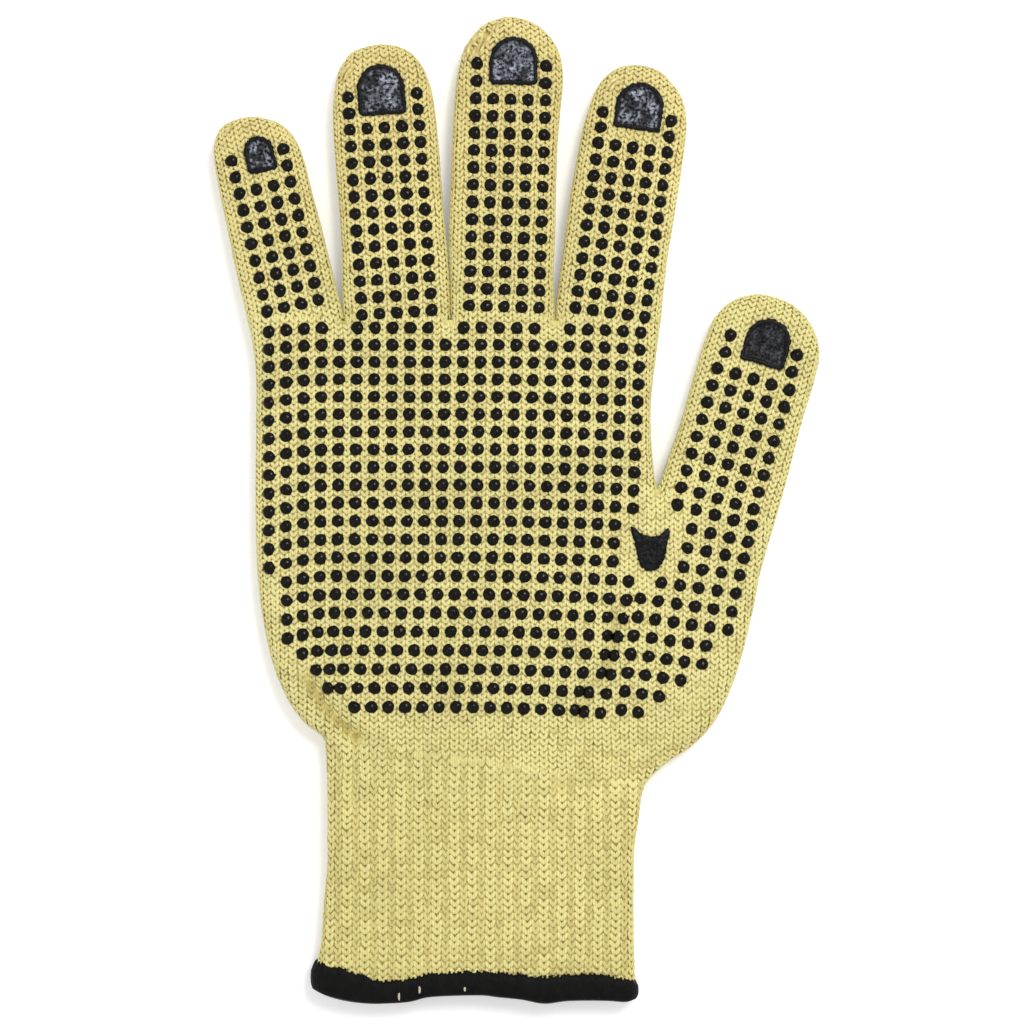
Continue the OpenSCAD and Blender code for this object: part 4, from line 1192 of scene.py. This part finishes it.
def sweep(name, paths, radius, sides, finish, closed=True):
    """Round cords along paths, closed rings or with pointed ends."""
    points, faces = [], []
    turn = np.arange(sides) * 2 * math.pi / sides
    for path in paths:
        path = np.array(path, float)
        n = len(path)
        ahead = np.gradient(path, axis=0)
        if closed:
            ahead = np.roll(path, -1, axis=0) - np.roll(path, 1, axis=0)
        ahead = unit(ahead)
        side = unit(np.cross(ahead, (0, 1, 0) if closed else (0, 0, 1)))
        up = np.cross(side, ahead)
        first = len(points)
        for i, (p, s, u) in enumerate(zip(path, side, up)):
            thick = radius if closed else radius * math.sin(math.pi * (i + 0.3) / (n - 0.4)) ** 0.4
            points += [p + thick * (math.cos(t) * s + math.sin(t) * u) for t in turn]
        faces += between_rings(sides, n, first, closed)
        if not closed:
            faces.append(tuple(range(first, first + sides))[::-1])
            faces.append(tuple(range(first + (n - 1) * sides, first + n * sides)))
    return finished(name, points, faces, finish)


RING_POINTS = 96
RING_FULLNESS = (5.0, 2.6)  # across and up; 2 is an ellipse, more is fuller
ELASTIC_INSET = 1.6         # how far inside the cuff's outline the elastic yarn lies
ELASTIC_RADIUS = 0.26
ELASTIC_COURSES = np.linspace(-112.0, -75.0, 12)


def edge_x(edge, y):
    """Where an edge that runs down the cuff lies at a height."""
    line = smooth_line(edge)[::-1]
    return np.interp(y, line[:, 1], line[:, 0])


def mouth_ring(y):
    """A closed ring round the inside of the cuff at a height."""
    left, right = edge_x(CUFF_LEFT_EDGE, y) + ELASTIC_INSET, edge_x(CUFF_RIGHT_EDGE, y) - ELASTIC_INSET
    rise = (HALF_Z - ELASTIC_INSET) * mouth_taper(y)
    a = np.arange(RING_POINTS) * 2 * math.pi / RING_POINTS
    across, up = [np.sign(t) * np.abs(t) ** (2 / full)
                  for t, full in zip((np.cos(a), np.sin(a)), RING_FULLNESS)]
    x = (left + right) / 2 + (right - left) / 2 * across
    return np.column_stack([x, np.full(RING_POINTS, y), MID_Z + rise * up])


elastic = sweep("elastic_courses", [mouth_ring(y) for y in ELASTIC_COURSES], ELASTIC_RADIUS, 6, ELASTIC)
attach(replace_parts(elastic, "cuff_elastic"), "cuff")


# Ends of yarn tucked in at the fingertips, and loose ends that show on the hem

TUCKED_ENDS = {
    "middle": [[(-12.2, 114.2), (-11.8, 116.8), (-10.2, 118.9), (-8.0, 120.2)],
               [(-11.4, 113.4), (-10.6, 115.8), (-9.0, 117.6), (-8.6, 119.6), (-9.8, 120.2)],
               [(-12.4, 115.8), (-11.2, 114.6), (-9.8, 115.2), (-9.6, 116.8), (-10.8, 117.6), (-11.9, 117.0)],
               [(-9.2, 114.8), (-7.8, 117.6), (-6.4, 119.6), (-5.4, 122.4)],
               [(-7.2, 121.6), (-6.0, 120.4), (-5.2, 118.8)]],
    "ring": [[(-44.3, 108.4), (-43.4, 110.6), (-41.8, 112.4)],
             [(-43.4, 108.2), (-42.3, 110.2), (-40.6, 111.6)]],
    "index": [[(22.6, 105.6), (23.8, 107.6), (25.6, 109.0)], [(23.6, 105.4), (24.9, 107.2), (26.6, 108.2)]],
    "little": [[(-73.6, 94.2), (-72.5, 96.0), (-70.8, 97.2)]],
}
TUCKED_RADIUS, TUCKED_SEAT = 0.5, 0.75
# Loose ends: place across, and from where to where along
LOOSE_ENDS = [(-29.5, -121.3, -124.0), (-24.3, -119.7, -122.4), (-12.9, -120.2, -121.6)]
LOOSE_RADIUS, LOOSE_SEAT, LOOSE_SAG = 0.34, 0.98, 0.3

for name, lines in TUCKED_ENDS.items():
    paths = []
    for line in lines:
        xy = smooth_line(line, 0.35)
        paths.append(np.column_stack([xy, regions[name].height(xy) + TUCKED_SEAT]))
    tuft = sweep(name + "_tucked_yarn", paths, TUCKED_RADIUS, 8, TUCKED, closed=False)
    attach(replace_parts(tuft, name + "_tip"), name + "_tip")
on_hem = MID_Z + HALF_Z * mouth_taper(CLOTH_END_Y) + LOOSE_SEAT - LOOSE_SAG * np.linspace(-1, 1, 9) ** 2
loose = [np.column_stack([np.full(9, x), np.linspace(start, end, 9), on_hem]) for x, start, end in LOOSE_ENDS]
ends = sweep("hem_loose_ends", loose, LOOSE_RADIUS, 8, ELASTIC, closed=False)
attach(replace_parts(ends, "hem_overlock"), "cuff")


# Pattern pieces have done their work
bpy.data.objects.remove(PATTERN)
for kind in list(KINDS.objects):
    bpy.data.objects.remove(kind)
bpy.data.collections.remove(KINDS)


# Floor, light and camera

FLOOR_HALF, FLOOR_Z = 3000, -0.1
CAMERA_LENS = 85.0
SENSOR = 36.0
FRAME_WIDTH = 259.4         # width that the picture shows, at the height of the aim
CAMERA_AIM = (-1.01, -0.63)
AIM_Z = 7.0


def floor():
    """A white floor that shows a little brighter than it lights."""
    made, tree, shader = material("white_floor", Roughness=0.9)
    shader.inputs["Base Color"].default_value = (0.92, 0.92, 0.92, 1)
    light_path = add(tree, "ShaderNodeLightPath")
    glow = add(tree, "ShaderNodeEmission", {"Color": (1, 1, 1, 1), "Strength": 0.25})
    both = add(tree, "ShaderNodeAddShader", {0: shader.outputs[0], 1: glow.outputs[0]})
    shown = add(tree, "ShaderNodeMixShader", {
        0: light_path.outputs["Is Camera Ray"], 1: shader.outputs[0], 2: both.outputs[0]})
    tree.links.new(shown.outputs[0], tree.nodes["Material Output"].inputs["Surface"])
    corners = [(FLOOR_HALF * x, FLOOR_HALF * y, FLOOR_Z) for x, y in ((-1, -1), (1, -1), (1, 1), (-1, 1))]
    mesh = mesh_of("floor", corners, [(0, 1, 2, 3)])
    mesh.materials.append(made)
    new_object("floor", mesh)


def lamp(name, place, size, power):
    """A square lamp that looks at the middle of the glove."""
    data = bpy.data.lights.new(name, "AREA")
    data.size = size
    data.energy = power
    made = new_object(name, data)
    made.location = place
    made.rotation_mode = "QUATERNION"
    made.rotation_quaternion = Vector(place).to_track_quat("Z", "Y")


def lights():
    world = bpy.data.worlds.new("studio")
    world.use_nodes = True
    tree = world.node_tree
    sky = tree.nodes["Background"]
    sky.inputs["Color"].default_value = (1, 1, 1, 1)
    sky.inputs["Strength"].default_value = 0.68
    seen = add(tree, "ShaderNodeBackground", {"Color": (1, 1, 1, 1), "Strength": 1.0})
    shown = add(tree, "ShaderNodeMixShader", {
        0: add(tree, "ShaderNodeLightPath").outputs["Is Camera Ray"], 1: sky.outputs[0], 2: seen.outputs[0]})
    tree.links.new(shown.outputs[0], tree.nodes["World Output"].inputs["Surface"])
    scene.world = world
    lamp("key_lamp", (0.26, 0.34, 0.82), 0.26, 3.9)
    lamp("fill_lamp", (-0.55, -0.25, 0.70), 0.7, 0.7)


def camera():
    data = bpy.data.cameras.new("camera")
    data.lens = CAMERA_LENS
    data.sensor_width = SENSOR
    made = new_object("camera", data)
    made.location = metres(CAMERA_AIM, FRAME_WIDTH * CAMERA_LENS / SENSOR + AIM_Z)
    scene.camera = made


floor()
lights()
camera()
scene.view_settings.view_transform = "Standard"
